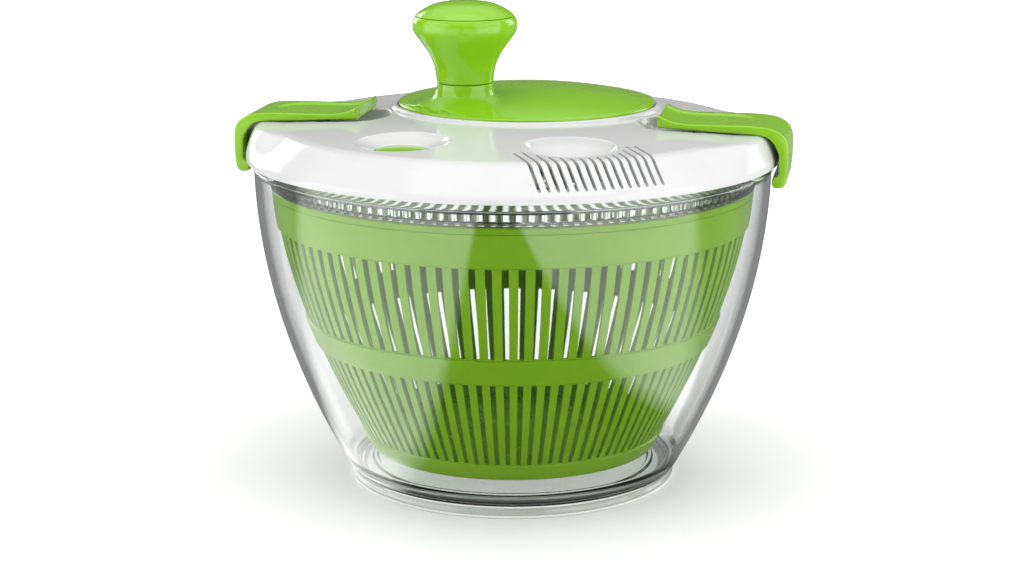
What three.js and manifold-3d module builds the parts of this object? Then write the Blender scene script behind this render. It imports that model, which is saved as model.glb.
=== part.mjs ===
// A hand-cranked salad spinner: clear bowl, slotted basket, clear basket cover and a locking lid.
// Units are millimetres. +Z is up, the bowl's axis is the Z axis, the bowl stands on z = 0,
// the two latches lie on the X axis and the user stands on the -Y side.
import * as THREE from 'three';
import { mergeVertices } from 'three/addons/utils/BufferGeometryUtils.js';
import Module from 'manifold-3d';

const wasm = await Module();
wasm.setup();

// ---- driving dimensions -------------------------------------------------------------------

const GAP = 0.3; // between pieces that touch or rest on each other
const RUN = 0.25; // radial clearance of a turning fit

// Bowl
const BOWL_BASE_R = 80.8;
const BOWL_RIM_R = 126.4;
const BOWL_RIM_Z = 161.8;
const BOWL_WALL = 2.6;
const BOWL_FLOOR_Z = 6;
const BOWL_BEAD = 1.0; // how far the rim bead stands out of the wall
const BOWL_BEAD_H = 4;
const PIP_R = 4;
const PIP_H = 11.5; // above the bowl's underside
const BOWL_SEGMENTS = 48;

// Non-slip ring under the bowl's foot
const FOOT_RING_WIDTH = 5.2;
const FOOT_RING_H = 1.6;
const FOOT_LIP_H = 3;

// Basket
const BASKET_FOOT_INSET = 9.4; // the basket's base inside the bowl's foot
const BASKET_RIM_INSET = 8.4; // the basket's rim inside the bowl's rim
const BASKET_RIM_DROP = 13.4; // the basket's rim below the bowl's rim
const BASKET_STAND = 11; // the basket's underside above the bowl's underside
const BASKET_WALL = 2.6;
const BASKET_SLOTS = 48;
const BASE_BAND_H = 9; // unslotted bands of the wall
const MIDDLE_BAND_H = 13.8;
const MIDDLE_BAND_SINK = 0.15; // below the middle of the slotted height
const TOP_BAND_H = 19.5;
const BASKET_FLOOR_T = 2.2;
const CUP_WALL = 3.4;
const CUP_H = 11;
const BASKET_HUB_WALL = 2.4;

// Basket cover
const COVER_OVERHANG = 0.6; // beyond the basket's rim
const COVER_H = 10.6;
const COVER_SKIRT_WALL = 2.4;
const COVER_PLATE_T = 2;
const COVER_WINDOWS = 36;
const COVER_WINDOW_SILL = 2.4; // above the basket's rim
const COVER_WINDOW_H = 5;
const COVER_LIP_H = 3;
const COVER_HUB_WALL = 5;
const KEY_W = 8;
const KEY_H = 2.4;

// Lid
const LID_OVERHANG = 3.6; // beyond the bowl's rim
const LID_LAP = 0.9; // how far the lip comes down past the bowl's rim
const LID_RISE = 18.7;
const LID_WALL = 2.4;
const LID_SHOULDER_INSET = 17;
const LID_SHOULDER_DROP = 3.2;
const LID_EAR_REACH = 11; // how far the shoulder moves out beside each latch
const LID_EAR_ANGLES = [19, 33]; // degrees: full ear, no ear
const LID_SKIRT_DROP = 1.3;
const LID_HUB_R = 14;
const LID_SEGMENTS = 48;
const WELL_SEGMENTS = 44;

// Crank disc, its well and its gears
const DISC_EDGE_RISE = 0.6; // above the lid's crown
const DISC_EDGE_H = 1.3;
const DISC_DOME_H = 7.4;
const DISC_WALL = 2.6;
const COLLAR_W = 3.2;
const COLLAR_GAP = 0.7;
const COLLAR_RISE = 0.5; // above the disc's edge
const WELL_DEPTH = 9.6; // below the lid's crown
const WELL_LEDGE = 1.6;
const GEAR_MODULE = 2;
const PINION_TEETH = 16;
const RING_GEAR_WALL = 3;
const RING_GEAR_CLEAR = 2.3; // between the ring gear and its well
const GEAR_FACE = 6.4;
const CRANK_SHAFT_R = 6;
const PINION_SHAFT_R = 6;
const COUPLER_WALL = 3;
const COUPLER_H = 5.6;
const SCREW_HOLE_R = 1.7;

// Knob
const KNOB_EDGE_INSET = 24.7; // the knob's axis inside the disc's edge
const KNOB_ANGLE = 230; // degrees about the disc's centre
const KNOB_NECK_R = 14.2;
const KNOB_HEAD_R = 25.7;
const KNOB_BOSS_H = 8.32; // above the disc's dome
const KNOB_H = 40;
const KNOB_BORE_R = 5.4;

// Brake and funnel dishes
const DISH_R = 22.4;
const DISH_SHOULDER_GAP = 8.2;
const DISH_ANGLE = 28.5; // degrees either side of the front
const BUTTON_R = 12.3;
const BUTTON_SINK = 3.3; // below the plateau
const BUTTON_H = 3.3;
const BRAKE_TRAVEL = 3;
const BRAKE_STEM_R = 3.5;
const BRAKE_PAD_R = 8;
const BRAKE_PAD_T = 2;
const FUNNEL_THROAT_R = 9;
const FUNNEL_CLEAR = 4.6; // above the basket cover

// Drain slots
const VENT_COUNT = 15;
const VENT_PITCH = 4.15;
const VENT_W = 1.6;
const VENT_LAP = 5.6; // how far beyond the dish's centre the slots may start
const VENT_END_INSET = 2.7;

// Latches
const LATCH_W = 41.8;
const LATCH_TOP_RISE = 1.4; // above the lid's crown
const LATCH_TIP_GAP = 7.32; // to the collar
const LATCH_ARM_GAP = 1; // to the lid's edge
const LATCH_ARM_T = 4.4;
const LATCH_REACH_DOWN = 10.2; // below the bowl's rim
const LATCH_TIP_LENGTH = 16.5; // from the tip to the pivot
const LATCH_PIVOT_DEPTH = 5;
const LATCH_PIN_R = 1.2;
const LATCH_LUG_R = 3.2;
const LATCH_LUG_T = 3.2;
const HOOK_CLEAR = 0.5; // between the hook's tip and the rim bead

// ---- sizes that follow --------------------------------------------------------------------

const BASKET_BASE_R = BOWL_BASE_R - BASKET_FOOT_INSET;
const BASKET_TOP_R = BOWL_RIM_R - BASKET_RIM_INSET;
const BASKET_BASE_Z = BOWL_FLOOR_Z + BASKET_STAND;
const BASKET_TOP_Z = BOWL_RIM_Z - BASKET_RIM_DROP;
const SLOTTED_Z = [BASKET_BASE_Z + BASE_BAND_H, BASKET_TOP_Z - TOP_BAND_H];
const SLOT_H = (SLOTTED_Z[1] - SLOTTED_Z[0] - MIDDLE_BAND_H) / 2;
const LOW_SLOTS_Z = [SLOTTED_Z[0], SLOTTED_Z[0] + SLOT_H - MIDDLE_BAND_SINK];
const HIGH_SLOTS_Z = [SLOTTED_Z[1] - SLOT_H - MIDDLE_BAND_SINK, SLOTTED_Z[1]];

const COVER_SKIRT_R = BASKET_TOP_R + COVER_OVERHANG;
const COVER_TOP_Z = BASKET_TOP_Z + COVER_H;
const COVER_SILL_Z = BASKET_TOP_Z + COVER_WINDOW_SILL;
const COVER_WINDOW_Z = [COVER_SILL_Z, COVER_SILL_Z + COVER_WINDOW_H];

const LID_R = BOWL_RIM_R + LID_OVERHANG;
const LID_BOTTOM_Z = BOWL_RIM_Z - LID_LAP;
const LID_CROWN_Z = LID_BOTTOM_Z + LID_RISE;
const LID_SHOULDER_R = LID_R - LID_SHOULDER_INSET;

// The disc's back edge stays inside the lid's shoulder while its gear meets the pinion on the axis.
const PINION_PITCH_R = (GEAR_MODULE * PINION_TEETH) / 2;
const TOOTH = 0.8 * GEAR_MODULE; // height above and below the pitch circle
const DISC_R = (LID_SHOULDER_R + PINION_PITCH_R) / 2;
const WELL_R = DISC_R - WELL_LEDGE;
const RING_PITCH_MOST = WELL_R - RING_GEAR_CLEAR - RING_GEAR_WALL - TOOTH;
const RING_TEETH = Math.floor((2 * RING_PITCH_MOST) / GEAR_MODULE + 0.01);
const RING_PITCH_R = (GEAR_MODULE * RING_TEETH) / 2;
const CRANK_OFFSET = RING_PITCH_R - PINION_PITCH_R;
const DISC_EDGE_Z = LID_CROWN_Z + DISC_EDGE_RISE;
const COLLAR_R = DISC_R + COLLAR_GAP + COLLAR_W;
const COLLAR_TOP_Z = DISC_EDGE_Z + COLLAR_RISE;
const WELL_FLOOR_Z = LID_CROWN_Z - WELL_DEPTH;
const COUPLER_R = PINION_SHAFT_R + COUPLER_WALL;
const COVER_HUB_R = COUPLER_R + COVER_HUB_WALL;
const COVER_HUB_TOP_Z = WELL_FLOOR_Z - LID_WALL - 1.4;

const KNOB_ARM = DISC_R - KNOB_EDGE_INSET;
const KNOB_BASE_Z = domeZ(KNOB_ARM) + KNOB_BOSS_H;

const DISH_REACH = LID_SHOULDER_R - DISH_R - DISH_SHOULDER_GAP;
const BUTTON_TOP_Z = plateauZ(DISH_REACH) - BUTTON_SINK;
const FUNNEL_BOTTOM_Z = COVER_TOP_Z + FUNNEL_CLEAR;
const VENT_START = DISH_REACH + VENT_LAP;
const VENT_END_R = LID_R - VENT_END_INSET;

const LATCH_TOP_Z = LID_CROWN_Z + LATCH_TOP_RISE;
const LATCH_TIP_R = Math.sqrt(COLLAR_R ** 2 - (CRANK_OFFSET - LATCH_W / 2) ** 2) + LATCH_TIP_GAP;
const LATCH_OUT_R = LID_R + LATCH_ARM_GAP + LATCH_ARM_T;
const LATCH_BOTTOM_Z = BOWL_RIM_Z - LATCH_REACH_DOWN;
const LATCH_PIVOT = [LATCH_TIP_R + LATCH_TIP_LENGTH, LATCH_TOP_Z - LATCH_PIVOT_DEPTH];

// ---- materials ----------------------------------------------------------------------------

const look = (color, roughness, metalness = 0, opacity = 1) => new THREE.MeshStandardMaterial({
  color, roughness, metalness, opacity, transparent: opacity < 1,
});
const CLEAR = look('#dfe6e4', 0.05, 0, 0.3);
const GREEN = look('#84c12c', 0.35);
const BASKET_GREEN = look('#9cc84b', 0.4);
const WHITE = look('#f1f1f1', 0.25);
const ACETAL = look('#e6e4dc', 0.45);
const STEEL = look('#b9bcc0', 0.3, 1);
const RUBBER = look('#9a9b98', 0.8);

// ---- small tools --------------------------------------------------------------------------

const rad = THREE.MathUtils.degToRad;
const v2 = (x, y) => new THREE.Vector2(x, y);

function solid(geometry) {
  const bare = geometry.clone();
  bare.deleteAttribute('normal');
  bare.deleteAttribute('uv');
  const merged = mergeVertices(bare, 1e-5);
  const mesh = new wasm.Mesh({
    numProp: 3,
    vertProperties: new Float32Array(merged.attributes.position.array),
    triVerts: new Uint32Array(merged.index.array),
  });
  return new wasm.Manifold(mesh);
}

function geometryOf(body) {
  const mesh = body.getMesh();
  const geometry = new THREE.BufferGeometry();
  geometry.setAttribute('position', new THREE.BufferAttribute(mesh.vertProperties, 3));
  geometry.setIndex(new THREE.BufferAttribute(mesh.triVerts, 1));
  geometry.computeVertexNormals();
  return geometry;
}

function joined(...bodies) {
  return bodies.reduce((sum, body) => sum.add(body));
}

function cutBy(body, ...tools) {
  return tools.reduce((rest, tool) => rest.subtract(tool), body);
}

// A turned solid: the profile is a closed list of [radius, z] points, or runs axis to axis.
function turned(profile, segments = 48) {
  const points = profile.map(([r, z]) => v2(r, z));
  const onAxis = profile[0][0] === 0 && profile[profile.length - 1][0] === 0;
  if (!onAxis) points.push(points[0].clone());
  const geometry = new THREE.LatheGeometry(points, segments);
  geometry.rotateX(Math.PI / 2);
  return solid(geometry);
}

function disc(r, z0, z1, segments = 32) {
  return turned([[0, z0], [r, z0], [r, z1], [0, z1]], segments);
}

function tube(rIn, rOut, z0, z1, segments = 32) {
  return turned([[rIn, z0], [rOut, z0], [rOut, z1], [rIn, z1]], segments);
}

// An extruded polygon standing between two heights.
function prism(points, z0, z1) {
  const shape = new THREE.Shape(points.map(([x, y]) => v2(x, y)));
  const geometry = new THREE.ExtrudeGeometry(shape, { depth: z1 - z0, bevelEnabled: false });
  geometry.translate(0, 0, z0);
  return solid(geometry);
}

// A polygon drawn in the XZ plane and extruded along Y, between -half and +half.
function slab(points, half) {
  const shape = new THREE.Shape(points.map(([x, z]) => v2(x, z)));
  const geometry = new THREE.ExtrudeGeometry(shape, { depth: 2 * half, bevelEnabled: false });
  geometry.rotateX(Math.PI / 2);
  geometry.translate(0, half, 0);
  return solid(geometry);
}

function box(x0, x1, y0, y1, z0, z1) {
  return prism([[x0, y0], [x1, y0], [x1, y1], [x0, y1]], z0, z1);
}

function polygon(count, r, turn = 0) {
  return Array.from({ length: count }, (_, i) => {
    const a = turn + (2 * Math.PI * i) / count;
    return [r * Math.cos(a), r * Math.sin(a)];
  });
}

function moved(body, x, y, z = 0) {
  return body.translate([x, y, z]);
}

function turnedBy(body, degrees) {
  return body.rotate([0, 0, degrees]);
}

// A wall between two stacks of rings. Both stacks hold functions (angle) => [radius, z], from the
// bottom ring to the top ring. open(row, column) leaves a window in that cell.
function ringWall(outer, inner, columns, open = () => false) {
  const positions = [];
  const indices = [];
  const stacks = [outer, inner];
  const at = (side, row, column) => (side * outer.length + row) * columns + (column % columns);
  for (const stack of stacks) {
    for (const ring of stack) {
      for (let c = 0; c < columns; c += 1) {
        const a = (2 * Math.PI * c) / columns;
        const [r, z] = ring(a);
        positions.push(r * Math.cos(a), r * Math.sin(a), z);
      }
    }
  }
  const quad = (a, b, c, d) => indices.push(a, b, c, a, c, d);
  const rows = outer.length - 1;
  const isOpen = (row, c) => row >= 0 && row < rows && open(row, (c + columns) % columns);
  const isSolid = (row, c) => row >= 0 && row < rows && !isOpen(row, c);
  for (let row = 0; row < rows; row += 1) {
    for (let c = 0; c < columns; c += 1) {
      if (isOpen(row, c)) continue;
      quad(at(0, row, c), at(0, row, c + 1), at(0, row + 1, c + 1), at(0, row + 1, c));
      quad(at(1, row, c + 1), at(1, row, c), at(1, row + 1, c), at(1, row + 1, c + 1));
      if (!isSolid(row, c - 1)) {
        quad(at(1, row, c), at(0, row, c), at(0, row + 1, c), at(1, row + 1, c));
      }
      if (!isSolid(row, c + 1)) {
        quad(at(0, row, c + 1), at(1, row, c + 1), at(1, row + 1, c + 1), at(0, row + 1, c + 1));
      }
      if (!isSolid(row - 1, c)) {
        quad(at(1, row, c), at(1, row, c + 1), at(0, row, c + 1), at(0, row, c));
      }
      if (!isSolid(row + 1, c)) {
        quad(at(0, row + 1, c), at(0, row + 1, c + 1), at(1, row + 1, c + 1), at(1, row + 1, c));
      }
    }
  }
  const geometry = new THREE.BufferGeometry();
  geometry.setAttribute('position', new THREE.Float32BufferAttribute(positions, 3));
  geometry.setIndex(indices);
  return solid(geometry);
}

const ring = (r, z) => () => [r, z];

const spinner = new THREE.Group();
spinner.name = 'salad_spinner';

function add(name, body, material, parent = spinner) {
  const mesh = new THREE.Mesh(geometryOf(body), material);
  mesh.name = name;
  parent.add(mesh);
  return mesh;
}

// ---- bowl and foot ------------------------------------------------------------------------

// The bowl's wall is a parabola from the foot, upright at the rim.
const PIP_TOP_Z = BOWL_FLOOR_Z + PIP_H;
const FLARE_Z = BOWL_FLOOR_Z + 1.5;
const FLARE_R = BOWL_BASE_R + 1.6;
function bowlOuterR(z) {
  const t = (z - FLARE_Z) / (BOWL_RIM_Z - FLARE_Z);
  return FLARE_R + (BOWL_RIM_R - FLARE_R) * (1 - (1 - t) ** 2);
}

function bowlWallHeights() {
  const steps = [0, 0.08, 0.2, 0.36, 0.54, 0.76];
  return steps.map((t) => FLARE_Z + t * (BOWL_RIM_Z - FLARE_Z));
}

function makeBowl() {
  const wall = bowlWallHeights().map((z) => [bowlOuterR(z), z]);
  const beadZ = BOWL_RIM_Z - BOWL_BEAD_H;
  const beadR = BOWL_RIM_R + BOWL_BEAD;
  const footZ = FOOT_RING_H + GAP;
  const outside = [
    [BOWL_BASE_R - BOWL_WALL, footZ],
    [BOWL_BASE_R, footZ],
    [BOWL_BASE_R, BOWL_FLOOR_Z - 1.2],
    ...wall,
    [BOWL_RIM_R, beadZ - 2.4],
    [beadR, beadZ],
    [beadR, BOWL_RIM_Z],
    [BOWL_RIM_R - BOWL_WALL, BOWL_RIM_Z],
  ];
  const inside = wall.map(([r, z]) => [r - BOWL_WALL * 1.08, z]).reverse().slice(0, -1);
  inside.push([FLARE_R - BOWL_WALL - 3, BOWL_FLOOR_Z + BOWL_WALL]);
  const floor = [
    [PIP_R + 5, BOWL_FLOOR_Z + BOWL_WALL],
    [PIP_R, BOWL_FLOOR_Z + BOWL_WALL + 3],
    [PIP_R, PIP_TOP_Z - 1],
    [PIP_R - 1, PIP_TOP_Z],
    [0, PIP_TOP_Z],
  ];
  const under = [[0, BOWL_FLOOR_Z], [BOWL_BASE_R - BOWL_WALL, BOWL_FLOOR_Z]];
  return turned([...under, ...outside, ...inside, ...floor], BOWL_SEGMENTS);
}

function makeFootRing() {
  const outer = BOWL_BASE_R;
  const lip = BOWL_BASE_R - BOWL_WALL - GAP;
  const inner = outer - FOOT_RING_WIDTH;
  return turned([
    [inner, 0],
    [outer, 0],
    [outer, FOOT_RING_H],
    [lip, FOOT_RING_H],
    [lip, FOOT_RING_H + FOOT_LIP_H],
    [inner, FOOT_RING_H + FOOT_LIP_H],
  ], BOWL_SEGMENTS);
}

// ---- basket -------------------------------------------------------------------------------

// The basket's wall bulges a little between its base and its rim.
function basketR(z) {
  const t = (z - BASKET_BASE_Z) / (BASKET_TOP_Z - BASKET_BASE_Z);
  return BASKET_BASE_R + (BASKET_TOP_R - BASKET_BASE_R) * (1 - (1 - t) ** 1.62);
}

const CUP_BASE_Z = BOWL_FLOOR_Z + BOWL_WALL + 3 + GAP;
const CUP_R = PIP_R + RUN + CUP_WALL;

function makePivotCup() {
  const hex = prism(polygon(6, CUP_R), CUP_BASE_Z, CUP_BASE_Z + CUP_H);
  return cutBy(hex, disc(PIP_R + RUN, CUP_BASE_Z - 1, PIP_TOP_Z + GAP, 24));
}

function makeBasketFloor() {
  const top = BASKET_BASE_Z + BASKET_FLOOR_T;
  const hubR = CUP_R + GAP + BASKET_HUB_WALL;
  const radii = [hubR, ...[43.4, 29.4, 21.4, 7.4, 1].map((inset) => BASKET_BASE_R - inset)];
  const wall = ringWall(
    radii.map((r) => ring(r, BASKET_BASE_Z)),
    radii.map((r) => ring(r, top)),
    24,
    (row, column) => row % 2 === 1 && column % 2 === 0,
  );
  const hubTop = CUP_BASE_Z + CUP_H + GAP + BASKET_FLOOR_T;
  const hub = turned([[0, BASKET_BASE_Z], [hubR + 1, BASKET_BASE_Z], [hubR, hubTop], [0, hubTop]], 24);
  const socket = prism(polygon(6, CUP_R + GAP), BASKET_BASE_Z - 1, CUP_BASE_Z + CUP_H + GAP);
  return cutBy(joined(wall, hub), socket);
}

function makeBasket() {
  const heights = [BASKET_BASE_Z, ...LOW_SLOTS_Z, ...HIGH_SLOTS_Z, BASKET_TOP_Z];
  const wall = ringWall(
    heights.map((z) => ring(basketR(z), z)),
    heights.map((z) => ring(basketR(z) - BASKET_WALL, z)),
    2 * BASKET_SLOTS,
    (row, column) => (row === 1 || row === 3) && column % 2 === 0,
  );
  return cutBy(joined(wall, makeBasketFloor()), ...keys(KEY_W + 2 * GAP, KEY_H + GAP));
}

// Two keys where the cover drops into the basket's rim.
function keys(width, height) {
  const r1 = BASKET_TOP_R - BASKET_WALL / 2;
  const key = box(r1 - 4, r1, -width / 2, width / 2, BASKET_TOP_Z - height, BASKET_TOP_Z + 1);
  return [45, 225].map((degrees) => turnedBy(key, degrees));
}

// ---- basket cover -------------------------------------------------------------------------

const COVER_BASE_Z = BASKET_TOP_Z + GAP;
const COVER_IN_R = COVER_SKIRT_R - COVER_SKIRT_WALL;
const COUPLER_TOP_Z = WELL_FLOOR_Z - LID_WALL - GAP;
const COUPLER_BASE_Z = COUPLER_TOP_Z - COUPLER_H;

function makeCover() {
  const heights = [COVER_BASE_Z, ...COVER_WINDOW_Z, COVER_TOP_Z];
  const skirt = ringWall(
    heights.map((z) => ring(COVER_SKIRT_R, z)),
    heights.map((z) => ring(COVER_IN_R, z)),
    2 * COVER_WINDOWS,
    (row, column) => row === 1 && column % 2 === 0,
  );
  const radii = [COVER_HUB_R - 1, COVER_IN_R - 44.2, COVER_IN_R - 22.2, COVER_IN_R + 1];
  const plateBase = COVER_TOP_Z - COVER_PLATE_T;
  const plate = ringWall(
    radii.map((r) => ring(r, plateBase)),
    radii.map((r) => ring(r, COVER_TOP_Z)),
    40,
    (row, column) => row === 1 && column % 2 === 0,
  );
  const lipR = BASKET_TOP_R - BASKET_WALL - 2 * GAP;
  const lip = turned([
    [lipR - 1.6, BASKET_TOP_Z - COVER_LIP_H],
    [lipR, BASKET_TOP_Z - COVER_LIP_H],
    [lipR, COVER_BASE_Z],
    [COVER_IN_R + 1, COVER_BASE_Z],
    [COVER_IN_R + 1, COVER_BASE_Z + 1.6],
    [lipR - 1.6, COVER_BASE_Z + 1.6],
  ], 40);
  const hub = disc(COVER_HUB_R, plateBase - 1, COVER_HUB_TOP_Z, 24);
  const socket = prism(polygon(6, COUPLER_R + GAP + RUN), COUPLER_BASE_Z - GAP, COVER_HUB_TOP_Z + 1);
  const drip = disc(5.5, plateBase - 2, COVER_TOP_Z, 24);
  const clear = disc(lipR - 1, BASKET_TOP_Z - 8, COVER_TOP_Z + 8, 48);
  const tabs = keys(KEY_W, KEY_H).map((key) => key.subtract(clear));
  return cutBy(joined(skirt, plate, lip, hub, ...tabs), socket, drip);
}

// ---- lid ----------------------------------------------------------------------------------

function plateauZ(r) {
  return LID_CROWN_Z - LID_SHOULDER_DROP * (r / LID_SHOULDER_R) ** 2;
}

// 1 beside a latch, 0 elsewhere.
function ear(angle) {
  const off = Math.abs(THREE.MathUtils.radToDeg(Math.asin(Math.sin(angle))));
  return 1 - THREE.MathUtils.smoothstep(off, LID_EAR_ANGLES[0], LID_EAR_ANGLES[1]);
}

// The lid's side from the lip up over the shoulder: plain profile and profile beside a latch,
// as [inset from the lid's edge, height above the lip's bottom].
function lidSide() {
  const shoulder = LID_R - LID_SHOULDER_R;
  const top = plateauZ(LID_SHOULDER_R) - LID_BOTTOM_Z;
  const near = shoulder - LID_EAR_REACH;
  return [
    [[0, 0], [0, 0]],
    [[0, 2.5], [0, 3.6]],
    [[4.5, 0.38 * top], [1.9, 0.72 * top]],
    [[shoulder - 5.6, 0.71 * top], [near - 1.8, top - 2]],
    [[shoulder - 2.4, 0.88 * top], [near + 0.6, top - 0.6]],
    [[shoulder + 2.4, top + 0.1], [shoulder + 2.4, top + 0.1]],
  ];
}

const LID_SKIRT_R = BOWL_RIM_R - BOWL_WALL * 1.08 - 0.5;
const LEDGE_Z = BOWL_RIM_Z + GAP;

// Below the dome a ledge sits on the bowl's rim and a skirt centres the lid in the bowl.
function makeLidDome() {
  const blend = (plain, near, drop, shrink) => (angle) => {
    const b = ear(angle);
    const inset = plain[0] * (1 - b) + near[0] * b;
    const up = plain[1] * (1 - b) + near[1] * b;
    return [LID_R - inset - shrink, LID_BOTTOM_Z + up - drop];
  };
  const side = lidSide();
  const outside = side.map(([plain, near]) => blend(plain, near, 0, 0));
  const wallIn = side.slice(3).map(([plain, near]) => blend(plain, near, 2.2, 1.2));
  const lip = LID_R - 2;
  const skirt = [
    ring(lip, LID_BOTTOM_Z),
    ring(lip, LEDGE_Z),
    ring(LID_SKIRT_R, LEDGE_Z),
    ring(LID_SKIRT_R, LEDGE_Z - 2 * LID_SKIRT_DROP),
    ring(LID_SKIRT_R - 2, LEDGE_Z - 2 * LID_SKIRT_DROP),
    ring(LID_SKIRT_R - 2, LEDGE_Z + 3),
  ];
  const plateau = [...[5, 21, 43, 67].map((inset) => LID_SHOULDER_R - inset), LID_HUB_R];
  const under = [LID_SHOULDER_R - 63, LID_HUB_R];
  const dome = ringWall(
    [...outside, ...plateau.map((r) => ring(r, plateauZ(r)))],
    [...skirt, ...wallIn, ...under.map((r) => ring(r, plateauZ(r) - LID_WALL))],
    LID_SEGMENTS,
  );
  const plug = disc(LID_HUB_R + 1, plateauZ(LID_HUB_R) - LID_WALL, plateauZ(LID_HUB_R), 12);
  return joined(dome, plug);
}

function makeWell() {
  const under = WELL_FLOOR_Z - LID_WALL;
  const ledgeZ = DISC_EDGE_Z - GAP - 0.4;
  const well = turned([
    [0, under],
    [WELL_R + LID_WALL, under],
    [COLLAR_R, plateauZ(DISC_R - 4.5) - LID_WALL - 1],
    [COLLAR_R, COLLAR_TOP_Z - 1],
    [COLLAR_R - 1.4, COLLAR_TOP_Z],
    [DISC_R + COLLAR_GAP, COLLAR_TOP_Z - 0.3],
    [DISC_R + COLLAR_GAP, ledgeZ],
    [WELL_R, ledgeZ],
    [WELL_R, WELL_FLOOR_Z],
    [0, WELL_FLOOR_Z],
  ], WELL_SEGMENTS);
  return moved(well, 0, CRANK_OFFSET);
}

function wellHoles() {
  const [under, above] = [WELL_FLOOR_Z - 10, WELL_FLOOR_Z + 5];
  const crank = moved(disc(CRANK_SHAFT_R + RUN, under, above), 0, CRANK_OFFSET);
  const pinion = disc(PINION_SHAFT_R + RUN, under, above);
  return [crank, pinion];
}

// A point on the lid, measured out from the axis at an angle from the front.
function frontPoint(reach, degrees) {
  const a = rad(degrees);
  return [reach * Math.sin(a), -reach * Math.cos(a)];
}

const BRAKE_AT = frontPoint(DISH_REACH, -DISH_ANGLE);
const FUNNEL_AT = frontPoint(DISH_REACH, DISH_ANGLE);
const BUTTON_BASE_Z = BUTTON_TOP_Z - BUTTON_H;
const PAD_BASE_Z = COVER_TOP_Z + BRAKE_TRAVEL + 0.2;
const GUIDE_BASE_Z = PAD_BASE_Z + BRAKE_PAD_T + 0.6;
const GUIDE_FLOOR_T = 1.4;
const DISH_MOUTH_Z = plateauZ(DISH_REACH) + 1.4;

// Each dish is a pair: the solid that is added to the lid and the hollow that is then cut.
function brakeDish() {
  const sleeveR = BUTTON_R + 0.4;
  const body = turned([
    [0, GUIDE_BASE_Z],
    [sleeveR + 1.8, GUIDE_BASE_Z],
    [sleeveR + 1.8, BUTTON_BASE_Z - 1],
    [DISH_R + 1.6, plateauZ(DISH_REACH) - 3.6],
    [DISH_R + 1.6, plateauZ(DISH_REACH) - LID_WALL],
    [0, plateauZ(DISH_REACH) - LID_WALL],
  ], 32);
  const hollow = turned([
    [0, GUIDE_BASE_Z + GUIDE_FLOOR_T],
    [sleeveR, GUIDE_BASE_Z + GUIDE_FLOOR_T],
    [sleeveR, BUTTON_TOP_Z - 0.9],
    [DISH_R - 2.5, plateauZ(DISH_REACH) - 1.6],
    [DISH_R - 0.6, plateauZ(DISH_REACH) - 0.3],
    [DISH_R + 0.6, DISH_MOUTH_Z],
    [0, DISH_MOUTH_Z],
  ], 32);
  const hole = disc(BRAKE_STEM_R + RUN, GUIDE_BASE_Z - 1, GUIDE_BASE_Z + GUIDE_FLOOR_T + 1, 24);
  return [body, joined(hollow, hole)].map((part) => moved(part, ...BRAKE_AT));
}

function funnelDish() {
  const top = plateauZ(DISH_REACH);
  const body = turned([
    [0, FUNNEL_BOTTOM_Z],
    [FUNNEL_THROAT_R + 2, FUNNEL_BOTTOM_Z],
    [FUNNEL_THROAT_R + 2, FUNNEL_BOTTOM_Z + 3],
    [DISH_R + 1.4, top - 4.4],
    [DISH_R + 1.4, top - LID_WALL],
    [0, top - LID_WALL],
  ], 32);
  const hollow = turned([
    [0, FUNNEL_BOTTOM_Z - 1],
    [FUNNEL_THROAT_R, FUNNEL_BOTTOM_Z - 1],
    [FUNNEL_THROAT_R, FUNNEL_BOTTOM_Z + 2.6],
    [FUNNEL_THROAT_R + 5.4, FUNNEL_BOTTOM_Z + 6.4],
    [DISH_R - 3, top - 3.4],
    [DISH_R - 0.6, top - 0.8],
    [DISH_R + 0.6, DISH_MOUTH_Z],
    [0, DISH_MOUTH_Z],
  ], 32);
  return [body, hollow].map((part) => moved(part, ...FUNNEL_AT));
}

// Drain slots run over the shoulder in parallel upright planes, outward from the funnel.
function ventTool(sideways) {
  const outside = [];
  const dishEdge = DISH_R + 1.8;
  const clearOfDish = Math.abs(sideways) < dishEdge
    ? DISH_REACH + Math.sqrt(dishEdge ** 2 - sideways ** 2)
    : 0;
  const from = Math.max(VENT_START, clearOfDish);
  const stations = lidSide().map(([plain]) => [LID_R - plain[0], LID_BOTTOM_Z + plain[1]]);
  const inner = stations.filter(([r]) => r < VENT_END_R - 3);
  const along = (r) => Math.sqrt(r * r - sideways * sideways);
  outside.push([from, plateauZ(Math.hypot(from, sideways))]);
  for (const [r, z] of inner.reverse()) {
    if (along(r) > from + 0.5) outside.push([along(r), z]);
  }
  outside.push([along(VENT_END_R), LID_BOTTOM_Z + 3.9]);
  const above = outside.map(([u, z]) => [u + 0.9, z + 1.2]);
  const below = outside.map(([u, z]) => [u - 1.9, z - 3]).reverse();
  above[0][0] = from;
  below[below.length - 1][0] = from;
  const tool = slab([...above, ...below], VENT_W / 2);
  return turnedBy(moved(tool, 0, sideways), DISH_ANGLE - 90);
}

function ventTools() {
  const first = -((VENT_COUNT - 1) * VENT_PITCH) / 2;
  return Array.from({ length: VENT_COUNT }, (_, i) => ventTool(first + i * VENT_PITCH));
}

// Each latch sits over an oval finger recess, between two lugs that carry its pin.
const RECESS_FLOOR_Z = LATCH_PIVOT[1] - LATCH_LUG_R - 0.6;
const RECESS_END_R = LATCH_PIVOT[0] + LATCH_LUG_R + 1.4;
const RECESS_HALF_W = LATCH_W / 2 + 0.9;

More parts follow.
